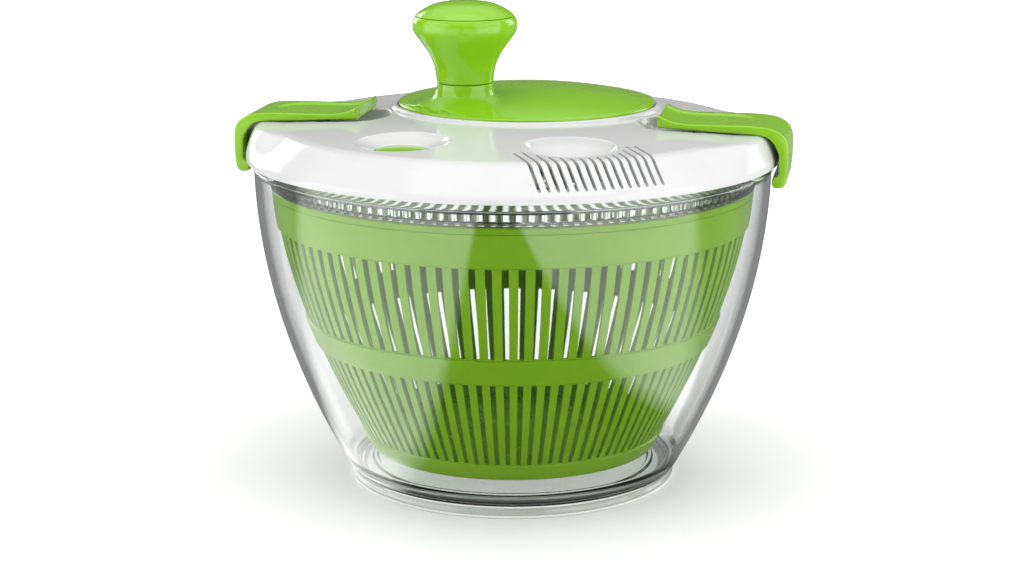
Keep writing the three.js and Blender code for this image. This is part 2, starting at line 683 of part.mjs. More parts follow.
function recessOutline(grow) {
  const points = [];
  for (let i = 0; i <= 10; i += 1) {
    const a = Math.PI / 2 + (Math.PI * i) / 10;
    points.push([LATCH_TIP_R + 3 + (15 + grow) * Math.cos(a), (RECESS_HALF_W + grow) * Math.sin(a)]);
  }
  const [endR, halfW] = [RECESS_END_R + grow, RECESS_HALF_W + grow];
  return [...points, [endR, -halfW], [endR, halfW]];
}

function latchSeat() {
  const topZ = plateauZ(LATCH_TIP_R);
  const pan = prism(recessOutline(2), RECESS_FLOOR_Z - 2, topZ - LID_WALL + 0.4);
  const hollow = prism(recessOutline(0), RECESS_FLOOR_Z, topZ + 3);
  const [px, pz] = LATCH_PIVOT;
  const r = LATCH_LUG_R;
  const dome = Array.from({ length: 7 }, (_, i) => {
    const a = (Math.PI * i) / 6;
    return [px + r * Math.cos(a), pz + r * Math.sin(a)];
  });
  const profile = [[px + r, RECESS_FLOOR_Z - 1], ...dome, [px - r, RECESS_FLOOR_Z - 1]];
  const lug = slab(profile, LATCH_LUG_T / 2);
  const at = LATCH_W / 2 - LATCH_LUG_T / 2 - 0.6;
  const lugs = joined(moved(lug, 0, at), moved(lug, 0, -at));
  const bore = crossBar(LATCH_PIN_R + RUN, LATCH_W);
  return { pan, hollow, lugs, bore };
}

// A round bar along Y through the latch's pivot.
function crossBar(r, length, segments = 16) {
  const geometry = new THREE.CylinderGeometry(r, r, length, segments);
  geometry.translate(LATCH_PIVOT[0], 0, LATCH_PIVOT[1]);
  return solid(geometry);
}

function makeLid() {
  const seat = latchSeat();
  const both = (body) => [body, turnedBy(body, 180)];
  const [brakeBody, brakeHollow] = brakeDish();
  const [funnelBody, funnelHollow] = funnelDish();
  const wellDisc = disc(COLLAR_R - 1, WELL_FLOOR_Z - 1, LID_CROWN_Z + 2, WELL_SEGMENTS);
  const wellOutline = moved(wellDisc, 0, CRANK_OFFSET);
  const dome = cutBy(makeLidDome(), wellOutline);
  const pans = both(seat.pan).map((pan) => pan.subtract(wellOutline));
  const shell = joined(dome, brakeBody, funnelBody, ...pans, makeWell());
  const hollow = cutBy(shell, brakeHollow, funnelHollow, ...both(seat.hollow), ...wellHoles());
  const lugged = joined(hollow, ...both(seat.lugs));
  return cutBy(lugged, ...both(seat.bore), ...ventTools(), moved(wellHollow(), 0, CRANK_OFFSET));
}

function wellHollow() {
  return disc(WELL_R, WELL_FLOOR_Z, DISC_EDGE_Z + 2, WELL_SEGMENTS);
}

// ---- crank disc, gears and coupler --------------------------------------------------------

const GEAR_TOP_Z = WELL_FLOOR_Z + 1.4 + GEAR_FACE;

function domeZ(r) {
  return DISC_EDGE_Z + DISC_EDGE_H + DISC_DOME_H * (1 - (r / DISC_R) ** 2);
}

function knobCentre() {
  const a = rad(KNOB_ANGLE);
  return [KNOB_ARM * Math.cos(a), CRANK_OFFSET + KNOB_ARM * Math.sin(a)];
}

function makeCrankDisc() {
  const radii = [0.6, 8.5, 22.5, 42.5].map((inset) => DISC_R - inset);
  const top = [[DISC_R, DISC_EDGE_Z + 0.7], ...radii.map((r) => [r, domeZ(r)]), [0, domeZ(0)]];
  const under = [...radii.slice(1)].reverse().map((r) => [r, Math.max(domeZ(r) - DISC_WALL, DISC_EDGE_Z)]);
  const edge = [[DISC_R - 1, DISC_EDGE_Z], [DISC_R, DISC_EDGE_Z]];
  const shell = turned([[0, domeZ(0) - DISC_WALL], ...under, ...edge, ...top], WELL_SEGMENTS);
  const hub = turned([
    [0, WELL_FLOOR_Z - LID_WALL + 0.2],
    [CRANK_SHAFT_R, WELL_FLOOR_Z - LID_WALL + 0.2],
    [CRANK_SHAFT_R, WELL_FLOOR_Z + GAP],
    [CRANK_SHAFT_R + 4, WELL_FLOOR_Z + GAP],
    [CRANK_SHAFT_R + 6, domeZ(0) - DISC_WALL + 1],
    [0, domeZ(0) - DISC_WALL + 1],
  ], 32);
  const base = moved(joined(shell, hub), 0, CRANK_OFFSET);
  const screwHole = disc(SCREW_HOLE_R, WELL_FLOOR_Z - 10, WELL_FLOOR_Z + 12, 16);
  const bored = cutBy(base, moved(screwHole, 0, CRANK_OFFSET));
  return joined(bored, makeKnobBoss());
}

// The boss that carries the knob flares down into the disc's dome.
function makeKnobBoss() {
  const top = KNOB_BASE_Z - GAP;
  const foot = domeZ(KNOB_ARM) - 1.6;
  const rise = top - foot;
  const flare = [0, 0.12, 0.35, 0.7, 1].map((t) => {
    return [KNOB_NECK_R - 0.2 + 9.8 * (1 - t) ** 2.4, foot + t * rise];
  });
  const boss = turned([[0, foot], ...flare, [KNOB_BORE_R - RUN, top], ...knobSpindle(top)], 28);
  const [x, y] = knobCentre();
  return moved(boss, x, y);
}

// The knob turns on this spindle, which a screw and washer close from above.
function knobSpindle(z) {
  const r = KNOB_BORE_R - RUN;
  return [[r, z + KNOB_H - 14], [1.8, z + KNOB_H - 14], [1.8, z + KNOB_H - 28], [0, z + KNOB_H - 28]];
}

function toothRing(teeth, pitchR, rootR, tipR, halfAt) {
  const points = [];
  for (let i = 0; i < teeth; i += 1) {
    const centre = (2 * Math.PI * i) / teeth;
    const half = (k) => (halfAt[k] * GEAR_MODULE) / pitchR;
    points.push([rootR, centre - half(0)], [tipR, centre - half(1)]);
    points.push([tipR, centre + half(1)], [rootR, centre + half(0)]);
  }
  return points.map(([r, a]) => [r * Math.cos(a), r * Math.sin(a)]);
}

// The ring gear's teeth point inward and its first tooth gap faces the pinion.
function makeRingGear() {
  const outer = RING_PITCH_R + TOOTH + RING_GEAR_WALL;
  const root = RING_PITCH_R + TOOTH + 0.3;
  const tip = RING_PITCH_R - TOOTH;
  const z1 = Math.min(GEAR_TOP_Z, DISC_EDGE_Z - GAP);
  const blank = tube(tip - 3, outer, WELL_FLOOR_Z + 1.4, z1, RING_TEETH);
  const space = toothRing(RING_TEETH, RING_PITCH_R, tip - 0.01, root, [1.22, 0.62]);
  const gear = blank.subtract(prism(space, WELL_FLOOR_Z, z1 + 1));
  return moved(turnedBy(gear, -90), 0, CRANK_OFFSET);
}

function makePinion() {
  const tip = PINION_PITCH_R + TOOTH;
  const root = PINION_PITCH_R - TOOTH - 0.3;
  const outline = toothRing(PINION_TEETH, PINION_PITCH_R, root, tip, [1.0, 0.36]);
  const z0 = WELL_FLOOR_Z + 1.4;
  const wheel = turnedBy(prism(outline, z0, z0 + GEAR_FACE), -90);
  const shaft = disc(PINION_SHAFT_R, COUPLER_TOP_Z + GAP, z0 + 0.5);
  const collar = disc(PINION_SHAFT_R + 3, WELL_FLOOR_Z + GAP, z0 + 0.5);
  return cutBy(joined(wheel, shaft, collar), disc(SCREW_HOLE_R, WELL_FLOOR_Z - 10, z0 + 3, 16));
}

function makeCoupler() {
  const hex = prism(polygon(6, COUPLER_R), COUPLER_BASE_Z, COUPLER_TOP_Z);
  const head = disc(3.6, COUPLER_BASE_Z - 1, COUPLER_BASE_Z + 2.6, 24);
  return cutBy(hex, disc(1.9, COUPLER_BASE_Z - 1, COUPLER_TOP_Z + 1, 16), head);
}

// A pan-head screw with its head's underside at z, pointing up or down.
function makeScrew(z, shank, length, headR, headH, up) {
  const s = up ? 1 : -1;
  const profile = [
    [0, z - s * headH],
    [headR - 0.6, z - s * headH],
    [headR, z - s * headH * 0.5],
    [headR, z],
    [shank, z],
    [shank, z + s * length],
    [0, z + s * length],
  ];
  const body = turned(up ? profile : profile.reverse(), 16);
  const drive = 0.55;
  const slot = (a, b) => box(-a, a, -b, b, z - s * headH - 1, z - s * headH + (up ? 0.9 : 1));
  const cross = joined(slot(1.9, drive), slot(drive, 1.9));
  return cutBy(body, up ? cross : cross.translate([0, 0, -0.9]));
}

// ---- knob ---------------------------------------------------------------------------------

function knobProfile() {
  const k = KNOB_HEAD_R - KNOB_NECK_R;
  return [
    [0, KNOB_NECK_R - 0.5], [0.02, KNOB_NECK_R], [0.14, KNOB_NECK_R + 0.03 * k],
    [0.26, KNOB_NECK_R + 0.12 * k], [0.38, KNOB_NECK_R + 0.34 * k], [0.5, KNOB_NECK_R + 0.63 * k],
    [0.6, KNOB_NECK_R + 0.92 * k], [0.66, KNOB_HEAD_R], [0.74, KNOB_HEAD_R],
    [0.81, KNOB_HEAD_R - 1.6],
  ].map(([t, r]) => [r, KNOB_BASE_Z + t * KNOB_H]);
}

const CAP_Z = KNOB_BASE_Z + 0.81 * KNOB_H;
const CAP_SEAT_R = KNOB_HEAD_R - 3;

// The knob is a hollow grip, closed on top by a snap-in cap.
function makeKnobGrip() {
  const outside = knobProfile();
  const floorZ = KNOB_BASE_Z + KNOB_H - 14 - GAP * 2;
  return turned([
    [KNOB_BORE_R, KNOB_BASE_Z],
    ...outside,
    [CAP_SEAT_R, CAP_Z],
    [CAP_SEAT_R, floorZ],
    [KNOB_BORE_R, floorZ],
  ], 28);
}

function makeKnobCap() {
  const top = KNOB_BASE_Z + KNOB_H;
  const edge = KNOB_HEAD_R - 1.6;
  const r = CAP_SEAT_R - GAP;
  return turned([
    [r - 1.8, CAP_Z - 2.4],
    [r, CAP_Z - 2.4],
    [r, CAP_Z + GAP],
    [edge, CAP_Z + GAP],
    [edge * 0.86, CAP_Z + 0.48 * (top - CAP_Z)],
    [edge * 0.62, CAP_Z + 0.8 * (top - CAP_Z)],
    [edge * 0.33, top - 0.3],
    [0, top],
    [0, top - 2.2],
    [edge * 0.33, top - 2.5],
    [edge * 0.6, CAP_Z + 0.8 * (top - CAP_Z) - 2.1],
    [r - 1.8, CAP_Z + 1.6],
  ], 28);
}

// ---- brake --------------------------------------------------------------------------------

function makeBrakeButton() {
  const body = turned([
    [0, PAD_BASE_Z + 0.6],
    [BRAKE_STEM_R, PAD_BASE_Z + 0.6],
    [BRAKE_STEM_R, BUTTON_BASE_Z],
    [BUTTON_R, BUTTON_BASE_Z],
    [BUTTON_R, BUTTON_TOP_Z - 1],
    [BUTTON_R - 0.9, BUTTON_TOP_Z - 0.3],
    [BUTTON_R - 4, BUTTON_TOP_Z],
    [0, BUTTON_TOP_Z + 0.2],
  ], 24);
  return moved(body, ...BRAKE_AT);
}

function makeBrakeSpring() {
  const z0 = GUIDE_BASE_Z + GUIDE_FLOOR_T + 0.2;
  const spring = tube(BRAKE_STEM_R + 1, BRAKE_STEM_R + 2.4, z0, BUTTON_BASE_Z - 0.2, 20);
  return moved(spring, ...BRAKE_AT);
}

function makeBrakePad() {
  const pad = tube(BRAKE_STEM_R + 0.3, BRAKE_PAD_R, PAD_BASE_Z, PAD_BASE_Z + BRAKE_PAD_T, 20);
  return moved(pad, ...BRAKE_AT);
}

// ---- latches ------------------------------------------------------------------------------

function latchProfile() {
  const hookTip = BOWL_RIM_R + BOWL_BEAD + HOOK_CLEAR;
  const armIn = LATCH_OUT_R - LATCH_ARM_T;
  const under = (r) => plateauZ(r) + 0.55;
  const top = LATCH_TOP_Z;
  const tip = LATCH_TIP_R;
  return [
    [tip, under(tip) + 0.2],
    [LATCH_PIVOT[0] + 10, under(LATCH_PIVOT[0] + 10)],
    [LID_R - 11, under(LID_SHOULDER_R) - 0.1],
    [LID_R - 5, under(LID_SHOULDER_R) - 0.9],
    [LID_R - 1.6, under(LID_SHOULDER_R) - 4],
    [armIn, under(LID_SHOULDER_R) - 9],
    [armIn, LATCH_BOTTOM_Z + 6.6],
    [hookTip, LATCH_BOTTOM_Z + 4.4],
    [hookTip, LATCH_BOTTOM_Z + 1.4],
    [hookTip + 1.2, LATCH_BOTTOM_Z],
    [LATCH_OUT_R - 2.6, LATCH_BOTTOM_Z],
    [LATCH_OUT_R - 0.8, LATCH_BOTTOM_Z + 2],
    [LATCH_OUT_R, LATCH_BOTTOM_Z + 9],
    [LATCH_OUT_R, top - 10],
    [LATCH_OUT_R - 1.2, top - 6],
    [LATCH_OUT_R - 4.6, top - 2.4],
    [LATCH_OUT_R - 10, top - 0.5],
    [LATCH_OUT_R - 18, top],
    [tip + 12, top],
    [tip + 7, top + 0.9],
    [tip + 3, top + 2.3],
    [tip, top + 3.8],
  ];
}

function thumbPanel() {
  const half = LATCH_W / 2 - 5.4;
  const points = [];
  for (let i = 0; i <= 12; i += 1) {
    const a = -Math.PI / 2 + (Math.PI * i) / 12;
    points.push([LATCH_PIVOT[0] + 14.5 + 14 * Math.cos(a), half * Math.sin(a)]);
  }
  points.push([LATCH_TIP_R - 1, half], [LATCH_TIP_R - 1, -half]);
  return prism(points, LATCH_TOP_Z - 0.6, LATCH_TOP_Z + 0.02);
}

function makeLatch() {
  const plate = slab(latchProfile(), LATCH_W / 2);
  const half = LATCH_W / 2 - LATCH_LUG_T - 1.2;
  const barrel = crossBar(LATCH_LUG_R - 0.4, 2 * half, 24);
  const bore = crossBar(LATCH_PIN_R + RUN, LATCH_W + 2);
  const lugRoom = crossBar(LATCH_LUG_R + 0.5, LATCH_W + 2, 24);
  const pocket = cutBy(lugRoom, crossBar(LATCH_LUG_R + 1, 2 * half, 24));
  return cutBy(joined(plate, barrel), pocket, bore, thumbPanel());
}

function makeLatchPin() {
  return crossBar(LATCH_PIN_R, LATCH_W - 1.6, 16);
}

// ---- assembly -----------------------------------------------------------------------------

add('bowl', makeBowl(), CLEAR);
add('foot_ring', makeFootRing(), RUBBER);
add('pivot_cup', makePivotCup(), ACETAL);
add('basket', makeBasket(), BASKET_GREEN);
add('basket_cover', makeCover(), CLEAR);
add('lid', makeLid(), WHITE);

add('crank_disc', makeCrankDisc(), GREEN);
add('ring_gear', makeRingGear(), ACETAL);
const underFloor = WELL_FLOOR_Z - LID_WALL;
const crankWasher = tube(2, CRANK_SHAFT_R + 3, underFloor - GAP - 1, underFloor - GAP, 16);
add('crank_washer', moved(crankWasher, 0, CRANK_OFFSET), STEEL);
const crankScrew = makeScrew(underFloor - GAP - 1.3, 1.5, 8, 3.2, 2, true);
add('crank_screw', moved(crankScrew, 0, CRANK_OFFSET), STEEL);

add('pinion', makePinion(), ACETAL);
add('drive_coupler', makeCoupler(), ACETAL);
add('coupler_screw', makeScrew(COUPLER_BASE_Z + 2.3, 1.5, 8, 3.2, 2, true), STEEL);

const [knobX, knobY] = knobCentre();
add('knob_grip', moved(makeKnobGrip(), knobX, knobY), GREEN);
add('knob_cap', moved(makeKnobCap(), knobX, knobY), GREEN);
const spindleTop = KNOB_BASE_Z - GAP + KNOB_H - 14;
const knobWasher = tube(2, KNOB_BORE_R + 3, spindleTop + GAP, spindleTop + GAP + 1, 16);
add('knob_washer', moved(knobWasher, knobX, knobY), STEEL);
const knobScrew = makeScrew(spindleTop + 2 * GAP + 1, 1.5, 9, 3, 2, false);
add('knob_screw', moved(knobScrew, knobX, knobY), STEEL);

add('brake_button', makeBrakeButton(), GREEN);
add('brake_spring', makeBrakeSpring(), STEEL);
add('brake_pad', makeBrakePad(), RUBBER);

add('latch_right', makeLatch(), GREEN);
add('latch_pin_right', makeLatchPin(), STEEL);
const leftSide = new THREE.Group();
leftSide.rotation.z = Math.PI;
spinner.add(leftSide);
add('latch_left', makeLatch(), GREEN, leftSide);
add('latch_pin_left', makeLatchPin(), STEEL, leftSide);

export default spinner;
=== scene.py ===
"""Builds the shown pieces of a hand-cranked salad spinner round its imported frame.

Shapes are worked out in millimetres and written to meshes in metres. +Z is up, the bowl's axis is
the Z axis, the latches lie on the X axis and the user stands on the -Y side.
"""

import math

import bmesh
import bpy
import numpy as np
from bpy.props import FloatProperty, FloatVectorProperty, IntProperty, PointerProperty
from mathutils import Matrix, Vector
from mathutils.geometry import delaunay_2d_cdt, tessellate_polygon
from mathutils.kdtree import KDTree


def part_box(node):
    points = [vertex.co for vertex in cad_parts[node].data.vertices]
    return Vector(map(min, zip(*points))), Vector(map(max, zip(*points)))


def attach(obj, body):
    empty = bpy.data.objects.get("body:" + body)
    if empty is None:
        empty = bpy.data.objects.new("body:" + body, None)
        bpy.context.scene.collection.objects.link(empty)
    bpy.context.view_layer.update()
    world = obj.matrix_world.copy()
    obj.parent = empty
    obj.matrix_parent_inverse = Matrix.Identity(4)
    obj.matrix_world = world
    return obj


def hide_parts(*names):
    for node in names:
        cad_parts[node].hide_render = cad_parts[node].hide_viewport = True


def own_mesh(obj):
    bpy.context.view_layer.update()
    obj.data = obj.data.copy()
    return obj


bl_info = {
    "name": "Salad spinner",
    "version": (1, 0, 0),
    "blender": (4, 5, 0),
    "location": "View3D > Sidebar > Spinner",
    "description": "Builds the shown pieces of a hand-cranked salad spinner",
    "category": "Object",
}

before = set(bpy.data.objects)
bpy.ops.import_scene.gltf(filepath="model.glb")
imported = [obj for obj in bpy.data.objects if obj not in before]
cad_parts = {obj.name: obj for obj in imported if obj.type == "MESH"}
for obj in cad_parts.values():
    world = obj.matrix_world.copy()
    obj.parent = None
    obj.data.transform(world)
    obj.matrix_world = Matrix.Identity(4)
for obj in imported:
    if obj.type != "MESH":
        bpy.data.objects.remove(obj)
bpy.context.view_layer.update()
MM = 0.001
TURN = 2 * math.pi


def box_mm(node):
    """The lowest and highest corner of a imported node, in millimetres."""
    return [tuple(value / MM for value in corner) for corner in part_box(node)]


# ---- places taken from the frame, in millimetres -------------------------------------------------

BEAD_R = box_mm("bowl")[1][0]
RIM_R = BEAD_R - 1.0
RIM_Z = box_mm("bowl")[1][2]
FOOT_R = box_mm("foot_ring")[1][0]
FOOT_TOP_Z = box_mm("foot_ring")[1][2]
BOWL_FOOT_Z = box_mm("bowl")[0][2]
BASKET_TOP_R = box_mm("basket")[1][0]
BASKET_BASE_Z = box_mm("basket")[0][2]
BASKET_TOP_Z = box_mm("basket")[1][2]
COVER_R = box_mm("basket_cover")[1][0]
COVER_TOP_Z = box_mm("basket_cover")[1][2]
LID_R = box_mm("lid")[1][1]
LID_LIP_Z = box_mm("lid")[0][2] + 1.4
LID_CROWN_Z = box_mm("lid")[1][2] - 1.1
DISC_Y = (box_mm("crank_disc")[0][1] + box_mm("crank_disc")[1][1]) / 2
DISC_R = (box_mm("crank_disc")[1][0] - box_mm("crank_disc")[0][0]) / 2
KNOB_X, KNOB_Y = [(a + b) / 2 for a, b in zip(*box_mm("knob_grip"))][:2]
KNOB_Z = box_mm("knob_grip")[0][2]
KNOB_TOP_Z = box_mm("knob_cap")[1][2]
KNOB_R = (box_mm("knob_grip")[1][0] - box_mm("knob_grip")[0][0]) / 2
BUTTON_X, BUTTON_Y = [(a + b) / 2 for a, b in zip(*box_mm("brake_button"))][:2]
BUTTON_R = (box_mm("brake_button")[1][0] - box_mm("brake_button")[0][0]) / 2
BUTTON_TOP_Z = box_mm("brake_button")[1][2]
BUTTON_BASE_Z = box_mm("brake_button")[0][2]
LATCH_TIP_R = box_mm("latch_right")[0][0]
LATCH_OUT_R = box_mm("latch_right")[1][0]
LATCH_BASE_Z = box_mm("latch_right")[0][2]
LATCH_TIP_Z = box_mm("latch_right")[1][2]
LATCH_HALF_W = box_mm("latch_right")[1][1]
PIVOT_R, _, PIVOT_Z = [(a + b) / 2 for a, b in zip(*box_mm("latch_pin_right"))]
WELL_FLOOR_Z = box_mm("pinion")[0][2] + 2.4

# ---- sizes that the frame doesn't give -----------------------------------------------------------

FLOW_MM, WEAR_MM, RIPPLE_MM = 38, 19, 31  # sizes of the marks in the plastics
BOWL_SIDES, RING_SIDES, DISC_SIDES, KNOB_SIDES, HUB_SIDES = 160, 288, 240, 128, 48


# ---- sizes and colours a user would change -------------------------------------------------------


def linear(hex_code):
    """An sRGB hex colour as three linear values."""
    parts = [int(hex_code[i : i + 2], 16) / 255 for i in (1, 3, 5)]
    return [c / 12.92 if c <= 0.04045 else ((c + 0.055) / 1.055) ** 2.4 for c in parts]


def length(name, default_mm, description):
    return FloatProperty(
        name=name,
        default=default_mm * MM,
        min=0,
        precision=5,
        unit="LENGTH",
        description=description,
    )


def colour(name, hex_code, description):
    return FloatVectorProperty(
        name=name,
        default=linear(hex_code),
        size=3,
        min=0,
        max=1,
        subtype="COLOR",
        description=description,
    )


class SpinnerSizes(bpy.types.PropertyGroup):
    bowl_wall: length("Bowl wall", 2.6, "Thickness of the clear bowl's wall")
    basket_wall: length("Basket wall", 2.6, "Thickness of the basket's plain bands")
    bar_recess: length("Bar recess", 1.1, "How far the basket's bars lie behind its bands")
    basket_slots: IntProperty(
        name="Basket slots", default=96, min=12, description="Slots in each row"
    )
    slot_share: FloatProperty(
        name="Slot share",
        default=0.43,
        min=0.1,
        max=0.9,
        subtype="FACTOR",
        description="Slot width over pitch",
    )
    cover_windows: IntProperty(
        name="Cover windows", default=140, min=12, description="Windows in the skirt"
    )
    lid_wall: length("Lid wall", 2.2, "Thickness of the lid's shell")
    vent_count: IntProperty(
        name="Drain slots", default=15, min=1, description="Drain slots over the shoulder"
    )
    vent_pitch: length("Drain slot pitch", 4.15, "Distance between neighbouring drain slots")
    vent_width: length("Drain slot width", 1.6, "Width of each drain slot")
    dish_radius: length("Dish radius", 22.4, "Radius of the brake and funnel dishes at the lid's top")
    disc_dome: length("Disc dome", 7.4, "How far the crank disc's middle stands above its edge")
    panel_depth: length("Thumb panel depth", 0.6, "Depth of the shallow panel on each latch")


class SpinnerColours(bpy.types.PropertyGroup):
    handle_green: colour("Handle green", "#82ba16", "Crank disc, knob, latches and brake button")
    basket_green: colour("Basket green", "#83b60a", "Basket")
    lid_white: colour("Lid white", "#cecece", "Lid")
    clear_tint: colour("Clear plastic tint", "#fbfdfc", "Bowl and basket cover")
    foot_grey: colour("Foot ring grey", "#e4e5e2", "Non-slip ring under the bowl")
    acetal_cream: colour("Gear acetal", "#e3e0d6", "Gears, coupler and pivot cup")
    pad_grey: colour("Brake pad rubber", "#4a4b4a", "Brake pad")
    zinc: colour("Zinc plate", "#b4b7ba", "Screws, washers, pins and spring")
    floor_white: colour("Floor", "#f4f4f4", "Studio floor")


def sizes():
    return bpy.context.scene.spinner_sizes


def mm(name):
    """One of the user's lengths in millimetres."""
    return getattr(sizes(), name) / MM


def tint(name):
    """One of the user's colours with full alpha."""
    return (*getattr(bpy.context.scene.spinner_colours, name), 1.0)


# ---- materials -----------------------------------------------------------------------------------


def put(tree, kind, inputs=None, **settings):
    """Adds a node. inputs maps a socket to a plain value or to a (node, output) pair."""
    made = tree.nodes.new(kind)
    for key, value in settings.items():
        setattr(made, key, value)
    for socket, value in (inputs or {}).items():
        if isinstance(value, tuple) and isinstance(value[0], bpy.types.Node):
            tree.links.new(value[0].outputs[value[1]], made.inputs[socket])
        else:
            made.inputs[socket].default_value = value
    return made


def new_material(name):
    material = bpy.data.materials.new(name)
    material.use_nodes = True
    material.node_tree.nodes.clear()
    return material, material.node_tree


def shade(colour_value, factor):
    """A colour made lighter or darker by one factor."""
    return (*[min(1.0, c * factor) for c in colour_value[:3]], 1.0)


def noise(tree, place, spot_mm, detail, **more):
    """Soft noise whose marks are about spot_mm across."""
    inputs = {"Vector": (place, "Object"), "Scale": 1 / (spot_mm * MM), "Detail": detail, **more}
    return put(tree, "ShaderNodeTexNoise", inputs)


def ranged(tree, value, source=(0.0, 1.0), target=(0.0, 1.0)):
    """A value mapped from one range to another."""
    ends = dict(zip(("From Min", "From Max", "To Min", "To Max"), (*source, *target)))
    return put(tree, "ShaderNodeMapRange", {"Value": value, **ends})


def blended(tree, factor, a, b, kind="RGBA"):
    return put(tree, "ShaderNodeMix", {"Factor": factor, "A": a, "B": b}, data_type=kind)


def bumped(tree, height, strength, depth_mm):
    inputs = {"Height": (height, "Fac"), "Strength": strength, "Distance": depth_mm * MM}
    return put(tree, "ShaderNodeBump", inputs)


def glow(tree, strength):
    """White emission."""
    return put(tree, "ShaderNodeEmission", {"Color": (1.0, 1.0, 1.0, 1.0), "Strength": strength})


def moulded_plastic(
    name, base, rough, grain_mm=0.7, grain_depth=0.02, translucent=0.0, ior=1.5
):
    """Injection-moulded plastic: a faint flow shift in colour, a drift in gloss and mould grain."""
    material, tree = new_material(name)
    place = put(tree, "ShaderNodeTexCoord")
    # Flow marks: where the melt met, a moulding's colour drifts a little over a few centimetres.
    flow = noise(tree, place, FLOW_MM, 2.0, Roughness=0.5)
    mixed = blended(tree, (flow, "Fac"), shade(base, 0.96), shade(base, 1.03))
    # Handling: fingers and washing leave slightly duller patches of a couple of centimetres.
    wear = noise(tree, place, WEAR_MM, 4.0, Roughness=0.62)
    dull = ranged(tree, (wear, "Fac"), (0.3, 0.75), (rough * 0.8, rough * 1.35))
    # Mould grain: the fine skin left by the tool's polish.
    grain = noise(tree, place, grain_mm, 2.0)
    bump = bumped(tree, grain, 0.25, grain_depth)
    body = put(
        tree,
        "ShaderNodeBsdfPrincipled",
        {
            "Base Color": (mixed, "Result"),
            "Roughness": (dull, "Result"),
            "Normal": (bump, "Normal"),
            "IOR": ior,
            "Subsurface Weight": translucent,
            "Subsurface Radius": (0.6, 1.0, 0.3),
            "Subsurface Scale": 2.2 * MM,
        },
    )
    put(tree, "ShaderNodeOutputMaterial", {"Surface": (body, "BSDF")})
    return material


def clear_plastic(name, base, rough, ior=1.57):
    """Clear SAN (styrene-acrylonitrile) moulded against polished steel: glassy, with faint haze."""
    material, tree = new_material(name)
    place = put(tree, "ShaderNodeTexCoord")
    # Moulding ripple: the wall's thickness wanders by microns over a few centimetres, so that
    # reflections in it waver slightly. It is drawn deeper than that, so that it shows.
    ripple = noise(tree, place, RIPPLE_MM, 1.0)
    bump = bumped(tree, ripple, 0.2, 0.12)
    # Chosen look, a painted reflection: near its outline the wall's colour darkens, as if it mirrored
    # a darker room beside it.
    facing = put(tree, "ShaderNodeLayerWeight", {"Blend": 0.5, "Normal": (bump, "Normal")})
    grey = ranged(tree, (facing, "Facing"), (0.83, 0.94))
    through = blended(tree, (grey, "Result"), base, shade(base, 0.25))
    glass = put(
        tree,
        "ShaderNodeBsdfPrincipled",
        {
            "Base Color": (through, "Result"),
            "Roughness": rough,
            "IOR": ior,
            "Transmission Weight": 1.0,
            "Normal": (bump, "Normal"),
        },
    )
    # Light passes through a clear wall almost unweakened, so lamps are let through it.
    clear = put(tree, "ShaderNodeBsdfTransparent", {"Color": (0.98, 0.985, 0.98, 1.0)})
    path = put(tree, "ShaderNodeLightPath")
    sides = {0: (path, "Is Shadow Ray"), 1: (glass, "BSDF"), 2: (clear, "BSDF")}
    shown = put(tree, "ShaderNodeMixShader", sides)
    # The plastic itself takes a little light. Through a wall this thin it is barely seen.
    absorbed = {"Color": (0.3, 0.31, 0.305, 1.0), "Density": 26.0}
    depth = put(tree, "ShaderNodeVolumeAbsorption", absorbed)
    ends = {"Surface": (shown, "Shader"), "Volume": (depth, "Volume")}
    put(tree, "ShaderNodeOutputMaterial", ends)
    return material


def plated_steel(name, base, rough=0.32):
    """Zinc-plated steel: a bright cold metal with a fine drawn grain."""
    material, tree = new_material(name)
    place = put(tree, "ShaderNodeTexCoord")
    stretch = (1 / (0.25 * MM), 1 / (0.25 * MM), 1 / (3 * MM))
    drawn = put(tree, "ShaderNodeMapping", {"Vector": (place, "Object"), "Scale": stretch})
    inputs = {"Vector": (drawn, "Vector"), "Scale": 1.0, "Detail": 3.0}
    grain = put(tree, "ShaderNodeTexNoise", inputs)
    dull = ranged(tree, (grain, "Fac"), target=(rough * 0.7, rough * 1.4))
    mixed = blended(tree, (grain, "Fac"), shade(base, 0.88), shade(base, 1.05))
    inputs = {"Base Color": (mixed, "Result"), "Roughness": (dull, "Result"), "Metallic": 1.0}
    body = put(tree, "ShaderNodeBsdfPrincipled", inputs)
    put(tree, "ShaderNodeOutputMaterial", {"Surface": (body, "BSDF")})
    return material


FINISHES = {}


